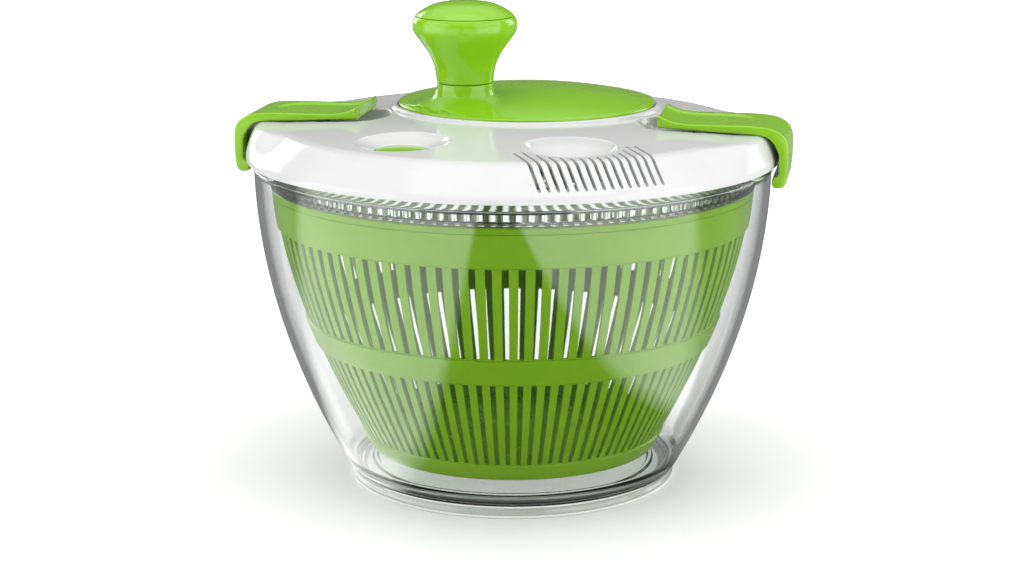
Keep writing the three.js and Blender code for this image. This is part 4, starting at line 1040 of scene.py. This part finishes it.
def lid_shell():
    dish = mm("dish_radius")
    lines = []

    def rings(centre, radii, count):
        lines.extend((circle(r, count, centre), True) for r in radii)

    crank = (0, DISC_Y)
    rings(crank, [CRANK_HOLE_R], 32)
    rings((0, 0), [CRANK_HOLE_R], 32)
    collar = (0.7, 0.9, 1.2, 1.6, 2.1, 2.6, 3.0, 3.4, 3.7, 3.9, 4.05, 4.25, 4.5, 4.9, 5.5, 6.4)
    ledge_rings = [LEDGE_R - 0.5, LEDGE_R, DISC_R + 0.5]
    rings(crank, [*ledge_rings, *(DISC_R + k for k in collar)], RING_SIDES)
    edge = (-2.4, -1.6, -0.9, -0.4, 0, 0.4, 0.9, 1.6)
    brake = [SLEEVE_R, SLEEVE_R + 0.5, *(dish + k for k in (-7, -5.4, -3.8, *edge, 2.6))]
    rings((BUTTON_X, BUTTON_Y), brake, DISH_SIDES)
    funnel = [FUNNEL_HOLE_R, 9.3, 10.6, 12.4, *(dish + k for k in (-8, -6.2, -4.6, -3.4, *edge))]
    rings((FUNNEL_X, FUNNEL_Y), funnel, DISH_SIDES)
    vents = vent_lines()
    vent_plans = [vent_outline(*vent) for vent in vents]
    lines += [(plan, True) for plan in vent_plans]
    turn = np.arange(DISH_SIDES) * TURN / DISH_SIDES
    for side in (-1, 1):
        for g in (-9, -7.5, -6, -4.7, -3.4, -2.4, -1.4, -0.7, -0.2, 0.2, 0.7, 1.4):
            r = recess_edge(turn) + g
            outline = np.stack([side * (RECESS_X + r * np.cos(turn)), r * np.sin(turn)], 1)
            lines.append((outline, True))
    lip = PLATEAU_R + SIDE_SPAN
    lines.append((circle(lip, RING_SIDES), True))
    points = [circle(r, max(24, int(TURN * r / 3.2))) for r in np.arange(3, PLATEAU_R, 3.0)]
    points += [circle(PLATEAU_R + s * SIDE_SPAN, RING_SIDES) for s in SIDE_SHARE[:-1]]
    points = thinned(np.concatenate(points), lines, 0.75)
    vent_half = mm("vent_width") / 2
    lip_end = plan_radius(LID_R - VENT_END_INSET)

    def keep(c):
        r = np.hypot(*c.T)
        ok = r < lip
        ok &= np.hypot(c[:, 0], c[:, 1] - DISC_Y) > CRANK_HOLE_R * 0.995
        ok &= r > CRANK_HOLE_R * 0.995
        ok &= np.hypot(c[:, 0] - BUTTON_X, c[:, 1] - BUTTON_Y) > SLEEVE_R * 0.999
        ok &= np.hypot(c[:, 0] - FUNNEL_X, c[:, 1] - FUNNEL_Y) > FUNNEL_HOLE_R * 0.999
        # The plan's radius is turned back into the lid's radius to test the slots.
        on_side = np.interp((r - PLATEAU_R) / SIDE_SPAN, SIDE_SHARE, PLAIN_SIDE[:, 0])
        real = np.where(r < PLATEAU_R, r, on_side)
        angle = np.arctan2(c[:, 1], c[:, 0]) - DRAIN_ANGLE
        along, side = real * np.cos(angle), real * np.sin(angle)
        for offset, start, end in vents:
            t = np.clip(along, start + vent_half, end - vent_half)
            ok &= ~((np.hypot(along - t, side - offset) < vent_half * 0.93) & (r < lip_end + 2))
        return ok

    _, spot, normal, tris = skin(points, lines, keep, lid_place)
    top = thickened(spot, normal, tris, mm("lid_wall"))
    in_r = RIM_R - RIM_LAND - SKIRT_GAP
    ledge = RIM_Z + 0.3
    skirt = turned(
        [
            (LID_R - 2.3, ledge), (in_r, ledge, 0.3), (in_r, ledge - 2.6, 0.5),
            (in_r - 2, ledge - 2.6, 0.5), (in_r - 2, ledge + 4.4, 0.8), (LID_R - 6.4, ledge + 4.0),
        ],
        3,
        BOWL_SIDES,
    )
    guide = lathe(
        [
            (SLEEVE_R, BUTTON_TOP_Z - 2.2), (SLEEVE_R, BUTTON_BASE_Z + 3.4),
            (3.75, BUTTON_BASE_Z + 3.4), (3.75, BUTTON_BASE_Z + 2.0),
            (SLEEVE_R + 1.8, BUTTON_BASE_Z + 2.0), (SLEEVE_R + 1.8, BUTTON_TOP_Z - 2.2),
        ],
        64, (BUTTON_X, BUTTON_Y),
    )
    return both(top, skirt, guide), normal


class SPINNER_OT_lid(bpy.types.Operator):
    """White lid with its crank well, collar, brake dish, funnel, drain slots and recesses"""

    bl_idname = "spinner.lid"
    bl_label = "Lid"

    def execute(self, context):
        shell, normals = lid_shell()
        name, slot = "white_abs_gloss_moulded", "white_plastic"
        show("lid_white", shell, name, "lid", ["lid"], 40, normals)
        return {"FINISHED"}


# ---- crank disc, knob and brake ------------------------------------------------------------------

DISC_EDGE_Z = LID_CROWN_Z + 0.6
DISC_PLAN_R = DISC_R + 3
BOSS_R = 14.2  # the boss under the knob, and the knob's neck on it
DISC_WALL = 2.2


def disc_dome_z(r):
    return DISC_EDGE_Z + 1.3 + mm("disc_dome") * (1 - (r / DISC_R) ** 2)


def boss_height(d):
    """The boss under the knob, by distance from the knob's middle."""
    top = KNOB_Z - 0.3
    foot = disc_dome_z(math.hypot(KNOB_X, KNOB_Y - DISC_Y))
    return table(
        d,
        [
            (0, top), (13.5, top), (13.9, top - 0.2), (14.05, top - 0.7), (BOSS_R, top - 3.0),
            (14.9, foot + 2.6), (16.6, foot + 0.9), (20, foot - 0.9), (26, foot - 3.4),
            (34, foot - 9),
        ],
    )


def disc_place(u, v):
    plan_r, angle = np.hypot(u, v), np.arctan2(v, u)
    edge = [
        (DISC_R - 1.2, DISC_R - 1.2, 0), (DISC_R - 0.2, DISC_R - 0.35, -0.12),
        (DISC_R + 0.5, DISC_R - 0.05, -0.5), (DISC_R + 1.1, DISC_R, -1.0),
        (DISC_R + 2.2, DISC_R, -1.45), (DISC_PLAN_R, DISC_R - 0.3, -1.6),
    ]
    start, across, down = np.array(edge).T
    r = np.where(plan_r < start[0], plan_r, np.interp(plan_r, start, across))
    z = disc_dome_z(np.minimum(plan_r, DISC_R)) + np.interp(plan_r, start, down)
    x, y = r * np.cos(angle), r * np.sin(angle) + DISC_Y
    d = np.hypot(x - KNOB_X, y - KNOB_Y)
    boss = softer_max(z, boss_height(d), 2.4)
    z = np.where(plan_r < DISC_R - 1.2, np.where(d < BOSS_R, boss_height(d), boss), z)
    return x, y, z


def disc_shell():
    knob = (KNOB_X, KNOB_Y - DISC_Y)
    edge = (-1.2, -0.7, -0.2, 0.15, 0.5, 1.1, 2.2)
    lines = [(circle(DISC_PLAN_R, DISC_SIDES), True)]
    lines += [(circle(DISC_R + k, DISC_SIDES), True) for k in edge]
    boss = [5, 9, 13.5, 13.7, 13.9, 13.98, 14.05, 14.12, 14.2, 14.35, 14.6, 14.9]
    boss += [15.3, 15.8, 16.6, 17.6, 18.8, 20.2]
    lines += [(circle(r, 120, knob), True) for r in boss]
    points = [circle(r, max(12, int(TURN * r / 2.6))) for r in np.arange(2.2, DISC_R - 2, 2.2)]
    points += [circle(r, 80, knob) for r in (21.4, 22.8)]
    points = np.concatenate(points)
    points = points[np.hypot(*points.T) < DISC_R - 1.6]
    points = thinned(points, lines, 0.8)
    _, spot, normal, tris = skin(points, lines, lambda c: np.hypot(*c.T) < DISC_PLAN_R, disc_place)
    # The shell is thin enough that its underside stays clear of the well's ledge.
    dome = thickened(spot, normal, tris, DISC_WALL, lowest=DISC_EDGE_Z)
    hub = turned(
        [
            (1.7, WELL_FLOOR_Z - 2.2), (6, WELL_FLOOR_Z - 2.2, 0.3), (6, WELL_FLOOR_Z + 0.3, 0),
            (10, WELL_FLOOR_Z + 0.3, 0.5), (12, DISC_EDGE_Z + 6.6, 0), (1.7, DISC_EDGE_Z + 6.6, 0),
        ],
        3,
        HUB_SIDES,
        (0, DISC_Y),
    )
    return both(dome, hub), normal


class SPINNER_OT_disc(bpy.types.Operator):
    """Domed crank disc with the boss that carries the knob"""

    bl_idname = "spinner.disc"
    bl_label = "Crank disc"

    def execute(self, context):
        shell, normals = disc_shell()
        show_green("crank_disc_domed", shell, "crank", "crank_disc", normals=normals)
        return {"FINISHED"}


def knob_shells():
    """The turned grip and the cap that closes it."""
    tall = KNOB_TOP_Z - KNOB_Z
    neck = BOSS_R
    k = KNOB_R - neck
    side = path_through(
        [
            (neck - 0.05, KNOB_Z + 0.6), (neck + 0.02 * k, KNOB_Z + 0.1 * tall),
            (neck + 0.11 * k, KNOB_Z + 0.22 * tall), (neck + 0.31 * k, KNOB_Z + 0.35 * tall),
            (neck + 0.60 * k, KNOB_Z + 0.475 * tall), (neck + 0.86 * k, KNOB_Z + 0.575 * tall),
            (neck + 0.985 * k, KNOB_Z + 0.64 * tall), (KNOB_R, KNOB_Z + 0.70 * tall),
            (KNOB_R - 0.15, KNOB_Z + 0.755 * tall), (KNOB_R - 0.9, KNOB_Z + 0.795 * tall),
        ],
        6,
    )
    cap_z = KNOB_Z + 0.81 * tall
    seat = KNOB_R - 3
    bore = 5.4
    floor_z = KNOB_TOP_Z - 14.6
    grip = lathe(
        [
            (bore, KNOB_Z), (neck - 0.7, KNOB_Z), (neck - 0.25, KNOB_Z + 0.15), *side,
            (KNOB_R - 1.35, cap_z - 0.1), (KNOB_R - 1.7, cap_z), (seat, cap_z), (seat, floor_z),
            (bore, floor_z),
        ],
        KNOB_SIDES,
        (KNOB_X, KNOB_Y),
    )
    edge = KNOB_R - 1.55
    rise = KNOB_TOP_Z - cap_z - 0.05
    dome = path_through(
        [
            (edge, cap_z + 0.35), (edge * 0.93, cap_z + 0.26 * rise),
            (edge * 0.8, cap_z + 0.52 * rise), (edge * 0.62, cap_z + 0.77 * rise),
            (edge * 0.4, cap_z + 0.92 * rise), (edge * 0.18, cap_z + 0.99 * rise),
            (0, cap_z + rise),
        ],
        6,
    )
    cap = lathe(
        [
            (0, KNOB_TOP_Z - 2.2), (edge * 0.5, KNOB_TOP_Z - 3.2), (seat - 2.1, cap_z + 1.6),
            (seat - 2.1, cap_z - 2.4), (seat - 0.3, cap_z - 2.4), (seat - 0.3, cap_z + 0.12),
            (edge - 0.35, cap_z + 0.12), *dome,
        ],
        KNOB_SIDES,
        (KNOB_X, KNOB_Y),
    )
    return grip, cap


class SPINNER_OT_knob(bpy.types.Operator):
    """Palm knob: a flared grip with a domed cap"""

    bl_idname = "spinner.knob"
    bl_label = "Knob"

    def execute(self, context):
        grip, cap = knob_shells()
        show_green("knob_grip_turned", grip, "knob", "knob_grip")
        show_green("knob_cap_domed", cap, "knob", "knob_cap")
        return {"FINISHED"}


class SPINNER_OT_brake(bpy.types.Operator):
    """Brake button in its dish"""

    bl_idname = "spinner.brake"
    bl_label = "Brake button"

    def execute(self, context):
        top = BUTTON_TOP_Z
        stem = 3.5
        corners = [
            (0, BUTTON_BASE_Z), (stem, BUTTON_BASE_Z, 0.3), (stem, top - 3.5, 0),
            (BUTTON_R, top - 3.5, 0.4), (BUTTON_R, top - 0.7, 0.9),
            (BUTTON_R - 2.6, top - 0.25, 1.2), (5, top - 0.05, 1.0), (0, top),
        ]
        shell = turned(corners, 4, 96, (BUTTON_X, BUTTON_Y), closed=False)
        show_green("brake_button_top", shell, "brake", "brake_button")
        return {"FINISHED"}


# ---- latches -------------------------------------------------------------------------------------

LATCH_TOP_Z = LATCH_TIP_Z - 3.8  # the flat of the latch's top
PATH_STEP = 1.4
WELD_MM = 0.02


def latch_profile():
    """The latch's side view as a closed path of (radius, height), counter-clockwise."""
    top = LATCH_TOP_Z
    tip = LATCH_TIP_R
    arm = LATCH_OUT_R - 4.4
    hook = BEAD_R + 0.5
    under = plateau_z(SHOULDER_R) + 0.55
    return eased(
        [
            (tip, plateau_z(tip) + 0.75, 0.5), (PIVOT_R + 10, plateau_z(PIVOT_R + 10) + 0.55, 2),
            (LID_R - 11, under - 0.1, 2), (LID_R - 5, under - 0.9, 2), (LID_R - 1.6, under - 4, 2),
            (arm, under - 9, 2), (arm, LATCH_BASE_Z + 6.6, 1), (hook, LATCH_BASE_Z + 4.4, 0.7),
            (hook, LATCH_BASE_Z + 1.4, 0.7), (hook + 1.2, LATCH_BASE_Z, 0.7),
            (LATCH_OUT_R - 2.6, LATCH_BASE_Z, 1.2), (LATCH_OUT_R - 0.8, LATCH_BASE_Z + 2, 1.2),
            (LATCH_OUT_R, LATCH_BASE_Z + 9, 3), (LATCH_OUT_R, top - 9.5, 2.5),
            (LATCH_OUT_R - 1.3, top - 5.6, 2), (LATCH_OUT_R - 4.6, top - 2.5, 2.4),
            (LATCH_OUT_R - 10, top - 0.6, 3), (LATCH_OUT_R - 18, top, 4), (tip + 14, top, 4),
            (tip + 7.5, top + 0.8, 2.4), (tip + 3.4, top + 2.2, 1.8), (tip + 0.4, top + 3.8, 0.5),
            (tip, top + 3.3, 0.3),
        ],
        4,
        closed=True,
    )


def latch_shell():
    profile = np.array(latch_profile())
    # The path is resampled so that its points lie less than two steps apart.
    dense = []
    for a, b in zip(profile, np.roll(profile, -1, 0)):
        n = max(1, int(np.linalg.norm(b - a) / PATH_STEP))
        dense += [a + (b - a) * k / n for k in range(n)]
    loop = np.array(dense)
    closed = np.concatenate([loop, loop[:1]])
    s = np.concatenate([[0], np.cumsum(np.linalg.norm(np.diff(closed, axis=0), axis=1))])
    total = s[-1]
    tangent = np.roll(loop, -1, 0) - np.roll(loop, 1, 0)
    tangent /= np.linalg.norm(tangent, axis=1)[:, None]
    inward = np.stack([-tangent[:, 1], tangent[:, 0]], 1)
    inward_closed = np.concatenate([inward, inward[:1]])
    fillet = 0.9
    flat = LATCH_HALF_W - fillet
    on_top = closed[:, 1] > LATCH_TOP_Z - 0.35
    panel_half, panel_x = 15.2, LATCH_TIP_R + 30.5
    depth = mm("panel_depth")

    def panel_offset(x, y):
        return np.where(x > panel_x, np.hypot(x - panel_x, y), np.abs(y)) - panel_half

    def place(u, v):
        u = np.mod(u, total)
        x = np.interp(u, s, closed[:, 0])
        z = np.interp(u, s, closed[:, 1])
        nx = np.interp(u, s, inward_closed[:, 0])
        nz = np.interp(u, s, inward_closed[:, 1])
        phi = np.clip((np.abs(v) - flat) / fillet, 0, math.pi / 2)
        y = np.sign(v) * (np.minimum(np.abs(v), flat) + fillet * np.sin(phi))
        inset = fillet * (1 - np.cos(phi))
        g = panel_offset(x, np.abs(v))
        t = np.clip((0.35 - g) / 0.7, 0, 1)
        up = np.interp(u, s, on_top.astype(float))
        inset = inset + depth * t * t * (3 - 2 * t) * up
        return x + nx * inset, y, z + nz * inset

    across = np.concatenate(
        [
            np.linspace(-flat, flat, 25),
            *[side * (flat + fillet * np.linspace(0, math.pi / 2, 5)[1:]) for side in (-1, 1)],
        ]
    )
    across.sort()
    ends = [across[0], across[-1]]
    lines = [
        (np.stack([s, 0 * s + ends[0]], 1), False), (np.stack([s, 0 * s + ends[1]], 1), False),
        (np.stack([0 * across, across], 1), False),
        (np.stack([0 * across + total, across], 1), False),
    ]
    # Lines that follow the panel's outline, from the tip round its end and back.
    top_index = np.where(on_top)[0]
    order = top_index[np.argsort(closed[top_index, 0])]
    for g in (0.45, 0.2, 0.0, -0.2, -0.45):
        half = panel_half + g
        xs = np.linspace(LATCH_TIP_R + 1.2, panel_x, 30)
        arc = np.linspace(0, math.pi, 26)
        path_x = np.concatenate([xs, panel_x + half * np.sin(arc)[1:-1], xs[::-1]])
        path_y = np.concatenate([0 * xs + half, half * np.cos(arc)[1:-1], 0 * xs - half])
        path_s = np.interp(path_x, closed[order, 0], s[order])
        lines.append((np.stack([path_s, path_y], 1), False))
    grid = np.array([(a, b) for a in s[1:-1] for b in across[1:-1]])
    grid = thinned(grid, lines, 0.3)
    _, spot, _, tris = skin(grid, lines, lambda c: c[:, 0] > -1, place)
    verts = [tuple(p) for p in spot]
    faces = [tuple(t) for t in tris]
    # The two flat sides close the solid.
    rim = loop + inward * fillet
    for y, flip in ((-LATCH_HALF_W, False), (LATCH_HALF_W, True)):
        start = len(verts)
        verts += [(x, y, z) for x, z in rim]
        cap = tessellate_polygon([[Vector((x, z, 0)) for x, z in rim]])
        for t in cap:
            a, b, c = (start + k for k in t)
            p, q, w = (verts[k] for k in (a, b, c))
            area = (q[0] - p[0]) * (w[2] - p[2]) - (q[2] - p[2]) * (w[0] - p[0])
            # A positive area in x and z faces -Y.
            faces.append((a, b, c) if (area > 0) != flip else (a, c, b))
    return verts, faces


def merged(obj, distance):
    """Welds an object's doubled vertices and turns its faces outward."""
    bm = bmesh.new()
    bm.from_mesh(obj.data)
    bmesh.ops.remove_doubles(bm, verts=bm.verts, dist=distance * MM)
    bmesh.ops.recalc_face_normals(bm, faces=bm.faces)
    bm.to_mesh(obj.data)
    bm.free()
    obj.data.shade_smooth()
    obj.data.set_sharp_from_angle(angle=math.radians(38))


class SPINNER_OT_latches(bpy.types.Operator):
    """Left and right latches: a rocker with a thumb panel, an arm and a hook"""

    bl_idname = "spinner.latches"
    bl_label = "Latches"

    def execute(self, context):
        verts, faces = latch_shell()
        turned_round = [(-x, -y, z) for x, y, z in verts]
        right = show_green("latch_right_rocker", (verts, faces), "latch_right", "latch_right", 32)
        merged(right, WELD_MM)
        left = show_green("latch_left_rocker", (turned_round, faces), "latch_left", "latch_left", 32)
        merged(left, WELD_MM)
        return {"FINISHED"}


# ---- small parts of the mechanism ----------------------------------------------------------------


def spring_shell():
    """A coil spring round the brake's stem, ground flat to its rest length."""
    low, high = (corner[2] for corner in box_mm("brake_spring"))
    wire, coil_r, turns, steps, around = 0.45, 5.1, 3.4, 32, 10
    count = int(turns * steps) + 1
    turn = np.linspace(0, turns * TURN, count)
    # The end turns lie flat; the pitch opens between them.
    rise = np.interp(turn / TURN, [0, 0.7, turns - 0.7, turns], [0, 0.12, 0.88, 1])
    z = low + wire + rise * (high - low - 2 * wire)
    verts, faces = [], []
    for a, height in zip(turn, z):
        for k in range(around):
            b = k * TURN / around
            r = coil_r + wire * math.cos(b)
            x, y = BUTTON_X + r * math.cos(a), BUTTON_Y + r * math.sin(a)
            verts.append((x, y, height + wire * math.sin(b)))
    for i in range(count - 1):
        for k in range(around):
            near, far = i * around, (i + 1) * around
            after = (k + 1) % around
            faces.append((near + k, far + k, far + after, near + after))
    faces.append(tuple(range(around)))
    faces.append(tuple(range((count - 1) * around, count * around))[::-1])
    return verts, faces


class SPINNER_OT_mechanism(bpy.types.Operator):
    """Finishes for the gears, coupler, pivot cup, screws, washers, pins, spring and brake pad"""

    bl_idname = "spinner.mechanism"
    bl_label = "Mechanism"

    def execute(self, context):
        worn_by = {
            "cream_acetal_moulded": ["ring_gear", "pinion", "drive_coupler", "pivot_cup"],
            "black_nitrile_moulded": ["brake_pad"],
            "zinc_plated_steel": [
                "crank_washer",
                "crank_screw",
                "coupler_screw",
                "knob_washer",
                "knob_screw",
                "latch_pin_right",
                "latch_pin_left",
            ],
        }
        for name, nodes in worn_by.items():
            for node in nodes:
                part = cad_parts[node]
                part.data.materials.clear()
                part.data.materials.append(finish(name))
        shell, steel = spring_shell(), "zinc_plated_steel"
        spring = show("brake_spring_coil", shell, steel, "lid", ["brake_spring"])
        merged(spring, 0.001)
        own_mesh(spring)
        return {"FINISHED"}


# ---- stage ---------------------------------------------------------------------------------------

CAMERA_TURN = math.radians(10)  # round the object from its front
CAMERA_OUT = 1.1
CAMERA_HEIGHT = 0.3554
CAMERA_PITCH = math.radians(13.4)
CAMERA_PAN = math.radians(0.06)
CAMERA_LENS = 80.2
GAP_CENTRE, GAP_HALF = 0.044, 0.096  # the dark gap between the two bright panels painted into the floor's reflections, along X


def floor_finish():
    """White opal acrylic: pale, with a soft contact shadow and a painted glow under the bowl's foot.
    """
    material, tree = new_material("white_acrylic_floor")
    place = put(tree, "ShaderNodeTexCoord")
    cloud = put(
        tree, "ShaderNodeTexNoise", {"Vector": (place, "Object"), "Scale": 3.0, "Detail": 2.0}
    )
    base = tint("floor_white")
    mixed = blended(tree, (cloud, "Fac"), shade(base, 0.995), shade(base, 1.0))
    inputs = {"Base Color": (mixed, "Result"), "Roughness": 0.6}
    body = put(tree, "ShaderNodeBsdfPrincipled", inputs)
    # Painted light: a round patch under the bowl's foot glows, as if a lamp stood beneath it, though
    # there is none.
    out = put(tree, "ShaderNodeVectorMath", {0: (place, "Object")}, operation="LENGTH")
    patch_edge = ((FOOT_R - 7) * MM, (FOOT_R - 1) * MM)
    patch = ranged(tree, (out, "Value"), patch_edge, (0.75, 0.02))
    # Far from the piece the lamps fall off, and the table's own glow takes over.
    distance = ranged(tree, (out, "Value"), (0.15, 1.6), (0.0, 0.7))
    glows = {0: (patch, "Result"), 1: (distance, "Result")}
    both_glows = put(tree, "ShaderNodeMath", glows, operation="ADD")
    # The floor itself emits both glows: the painted light under the foot and the far floor's
    # brightness.
    lamp = glow(tree, (both_glows, "Value"))
    lit = put(tree, "ShaderNodeAddShader", {0: (body, "BSDF"), 1: (lamp, "Emission")})
    # Chosen look, a painted reflection: reflections don't see the plain floor. In front they see two
    # painted bright panels with a dark gap between, and behind they see a painted dim floor. Clear
    # walls refract the plain floor.
    split = put(tree, "ShaderNodeSeparateXYZ", {"Vector": (place, "Object")})
    aside = put(tree, "ShaderNodeMath", {0: (split, "X"), 1: -GAP_CENTRE}, operation="ADD")
    away = put(tree, "ShaderNodeMath", {0: (aside, "Value")}, operation="ABSOLUTE")
    gap_edge = (GAP_HALF - 0.01, GAP_HALF + 0.01)
    panel = ranged(tree, (away, "Value"), gap_edge, (0.08, 1.5))
    front = ranged(tree, (split, "Y"), (-0.03, 0.03), (1.0, 0.0))
    level = blended(tree, (front, "Result"), 0.3, (panel, "Result"), "FLOAT")
    painted_reflection = glow(tree, (level, "Result"))
    path = put(tree, "ShaderNodeLightPath")
    depth = {0: (path, "Glossy Depth"), 1: 1.0}
    reflected = put(tree, "ShaderNodeMath", depth, operation="MINIMUM")
    sides = {0: (reflected, "Value"), 1: (lit, "Shader"), 2: (painted_reflection, "Emission")}
    shown = put(tree, "ShaderNodeMixShader", sides)
    put(tree, "ShaderNodeOutputMaterial", {"Surface": (shown, "Shader")})
    return material


def soft_light(name, at, aim, size, power):
    data = bpy.data.lights.new(name, "AREA")
    data.shape = "RECTANGLE"
    data.size, data.size_y = size
    data.energy = power
    lamp = bpy.data.objects.new(name, data)
    bpy.context.scene.collection.objects.link(lamp)
    lamp.location = at
    lamp.rotation_mode = "QUATERNION"
    lamp.rotation_quaternion = (Vector(aim) - Vector(at)).to_track_quat("-Z", "Y")
    lamp.visible_camera = False
    return lamp


class SPINNER_OT_stage(bpy.types.Operator):
    """Floor, soft studio light and camera"""

    bl_idname = "spinner.stage"
    bl_label = "Stage"

    def execute(self, context):
        scene = context.scene
        scene.view_settings.view_transform = "Standard"
        camera_data = bpy.data.cameras.new("camera")
        camera_data.lens = CAMERA_LENS
        camera_data.sensor_width = 36
        camera_data.clip_end = 50
        camera = bpy.data.objects.new("camera", camera_data)
        scene.collection.objects.link(camera)
        across, back = CAMERA_OUT * math.sin(CAMERA_TURN), -CAMERA_OUT * math.cos(CAMERA_TURN)
        camera.location = (across, back, CAMERA_HEIGHT)
        heading = CAMERA_TURN + CAMERA_PAN
        aim = Vector((-math.sin(heading), math.cos(heading), -math.tan(CAMERA_PITCH)))
        camera.rotation_mode = "QUATERNION"
        camera.rotation_quaternion = aim.to_track_quat("-Z", "Y")
        scene.camera = camera

        mesh = bpy.data.meshes.new("floor")
        reach, n = 9.0, 12
        grid = np.linspace(-reach, reach, n + 1)
        firsts = [j * (n + 1) + i for j in range(n) for i in range(n)]
        faces = [(k, k + 1, k + n + 2, k + n + 1) for k in firsts]
        mesh.from_pydata([(x, y, 0) for y in grid for x in grid], [], faces)
        floor = bpy.data.objects.new("floor", mesh)
        scene.collection.objects.link(floor)
        floor.data.materials.append(floor_finish())

        world = bpy.data.worlds.new("studio")
        world.use_nodes = True
        tree = world.node_tree
        tree.nodes.clear()
        # Bounced light sees a room with a bright ceiling over dim walls. The eye, and what it sees
        # through clear walls, meets a pale backdrop instead.
        place = put(tree, "ShaderNodeTexCoord")
        split = put(tree, "ShaderNodeSeparateXYZ", {"Vector": (place, "Generated")})
        ramp = ranged(tree, (split, "Z"), (0.42, 0.78), (0.14, 1.25))
        path = put(tree, "ShaderNodeLightPath")
        depths = {0: (path, "Glossy Depth"), 1: (path, "Diffuse Depth")}
        bounced = put(tree, "ShaderNodeMath", depths, operation="ADD", use_clamp=True)
        strength = blended(tree, (bounced, "Value"), 1.0, (ramp, "Result"), "FLOAT")
        inputs = {"Color": (1, 1, 1, 1), "Strength": (strength, "Result")}
        sky = put(tree, "ShaderNodeBackground", inputs)
        put(tree, "ShaderNodeOutputWorld", {"Surface": (sky, "Background")})
        scene.world = world

        middle = (0, 0, 0.1)
        soft_light("left_softbox", (-1.35, -0.75, 0.62), middle, (1.8, 1.5), 17)
        soft_light("right_softbox", (1.3, -0.55, 0.58), middle, (1.8, 1.5), 16)
        soft_light("left_rim_softbox", (-1.3, 1.3, 0.6), middle, (0.8, 1.0), 7)
        soft_light("right_rim_softbox", (1.3, 1.3, 0.6), middle, (0.8, 1.0), 7)
        soft_light("top_softbox", (0, 0.0, 2.0), middle, (1.6, 1.2), 6)
        return {"FINISHED"}


class SPINNER_PT_panel(bpy.types.Panel):
    bl_label = "Salad spinner"
    bl_idname = "SPINNER_PT_panel"
    bl_space_type = "VIEW_3D"
    bl_region_type = "UI"
    bl_category = "Spinner"

    def draw(self, context):
        for group in (context.scene.spinner_sizes, context.scene.spinner_colours):
            column = self.layout.column()
            for name in group.bl_rna.properties.keys():
                if name not in ("rna_type", "name"):
                    column.prop(group, name)
        for operator in OPERATORS:
            self.layout.operator(operator.bl_idname)


OPERATORS = [
    SPINNER_OT_stage,
    SPINNER_OT_bowl,
    SPINNER_OT_foot,
    SPINNER_OT_basket,
    SPINNER_OT_cover,
    SPINNER_OT_lid,
    SPINNER_OT_disc,
    SPINNER_OT_knob,
    SPINNER_OT_brake,
    SPINNER_OT_latches,
    SPINNER_OT_mechanism,
]
CLASSES = [SpinnerSizes, SpinnerColours, *OPERATORS, SPINNER_PT_panel]


def register():
    for cls in CLASSES:
        bpy.utils.register_class(cls)
    bpy.types.Scene.spinner_sizes = PointerProperty(type=SpinnerSizes)
    bpy.types.Scene.spinner_colours = PointerProperty(type=SpinnerColours)


def unregister():
    del bpy.types.Scene.spinner_sizes
    del bpy.types.Scene.spinner_colours
    for cls in reversed(CLASSES):
        bpy.utils.unregister_class(cls)


def main():
    register()
    for operator in OPERATORS:
        group, name = operator.bl_idname.split(".")
        getattr(getattr(bpy.ops, group), name)()


if __name__ == "__main__":
    main()
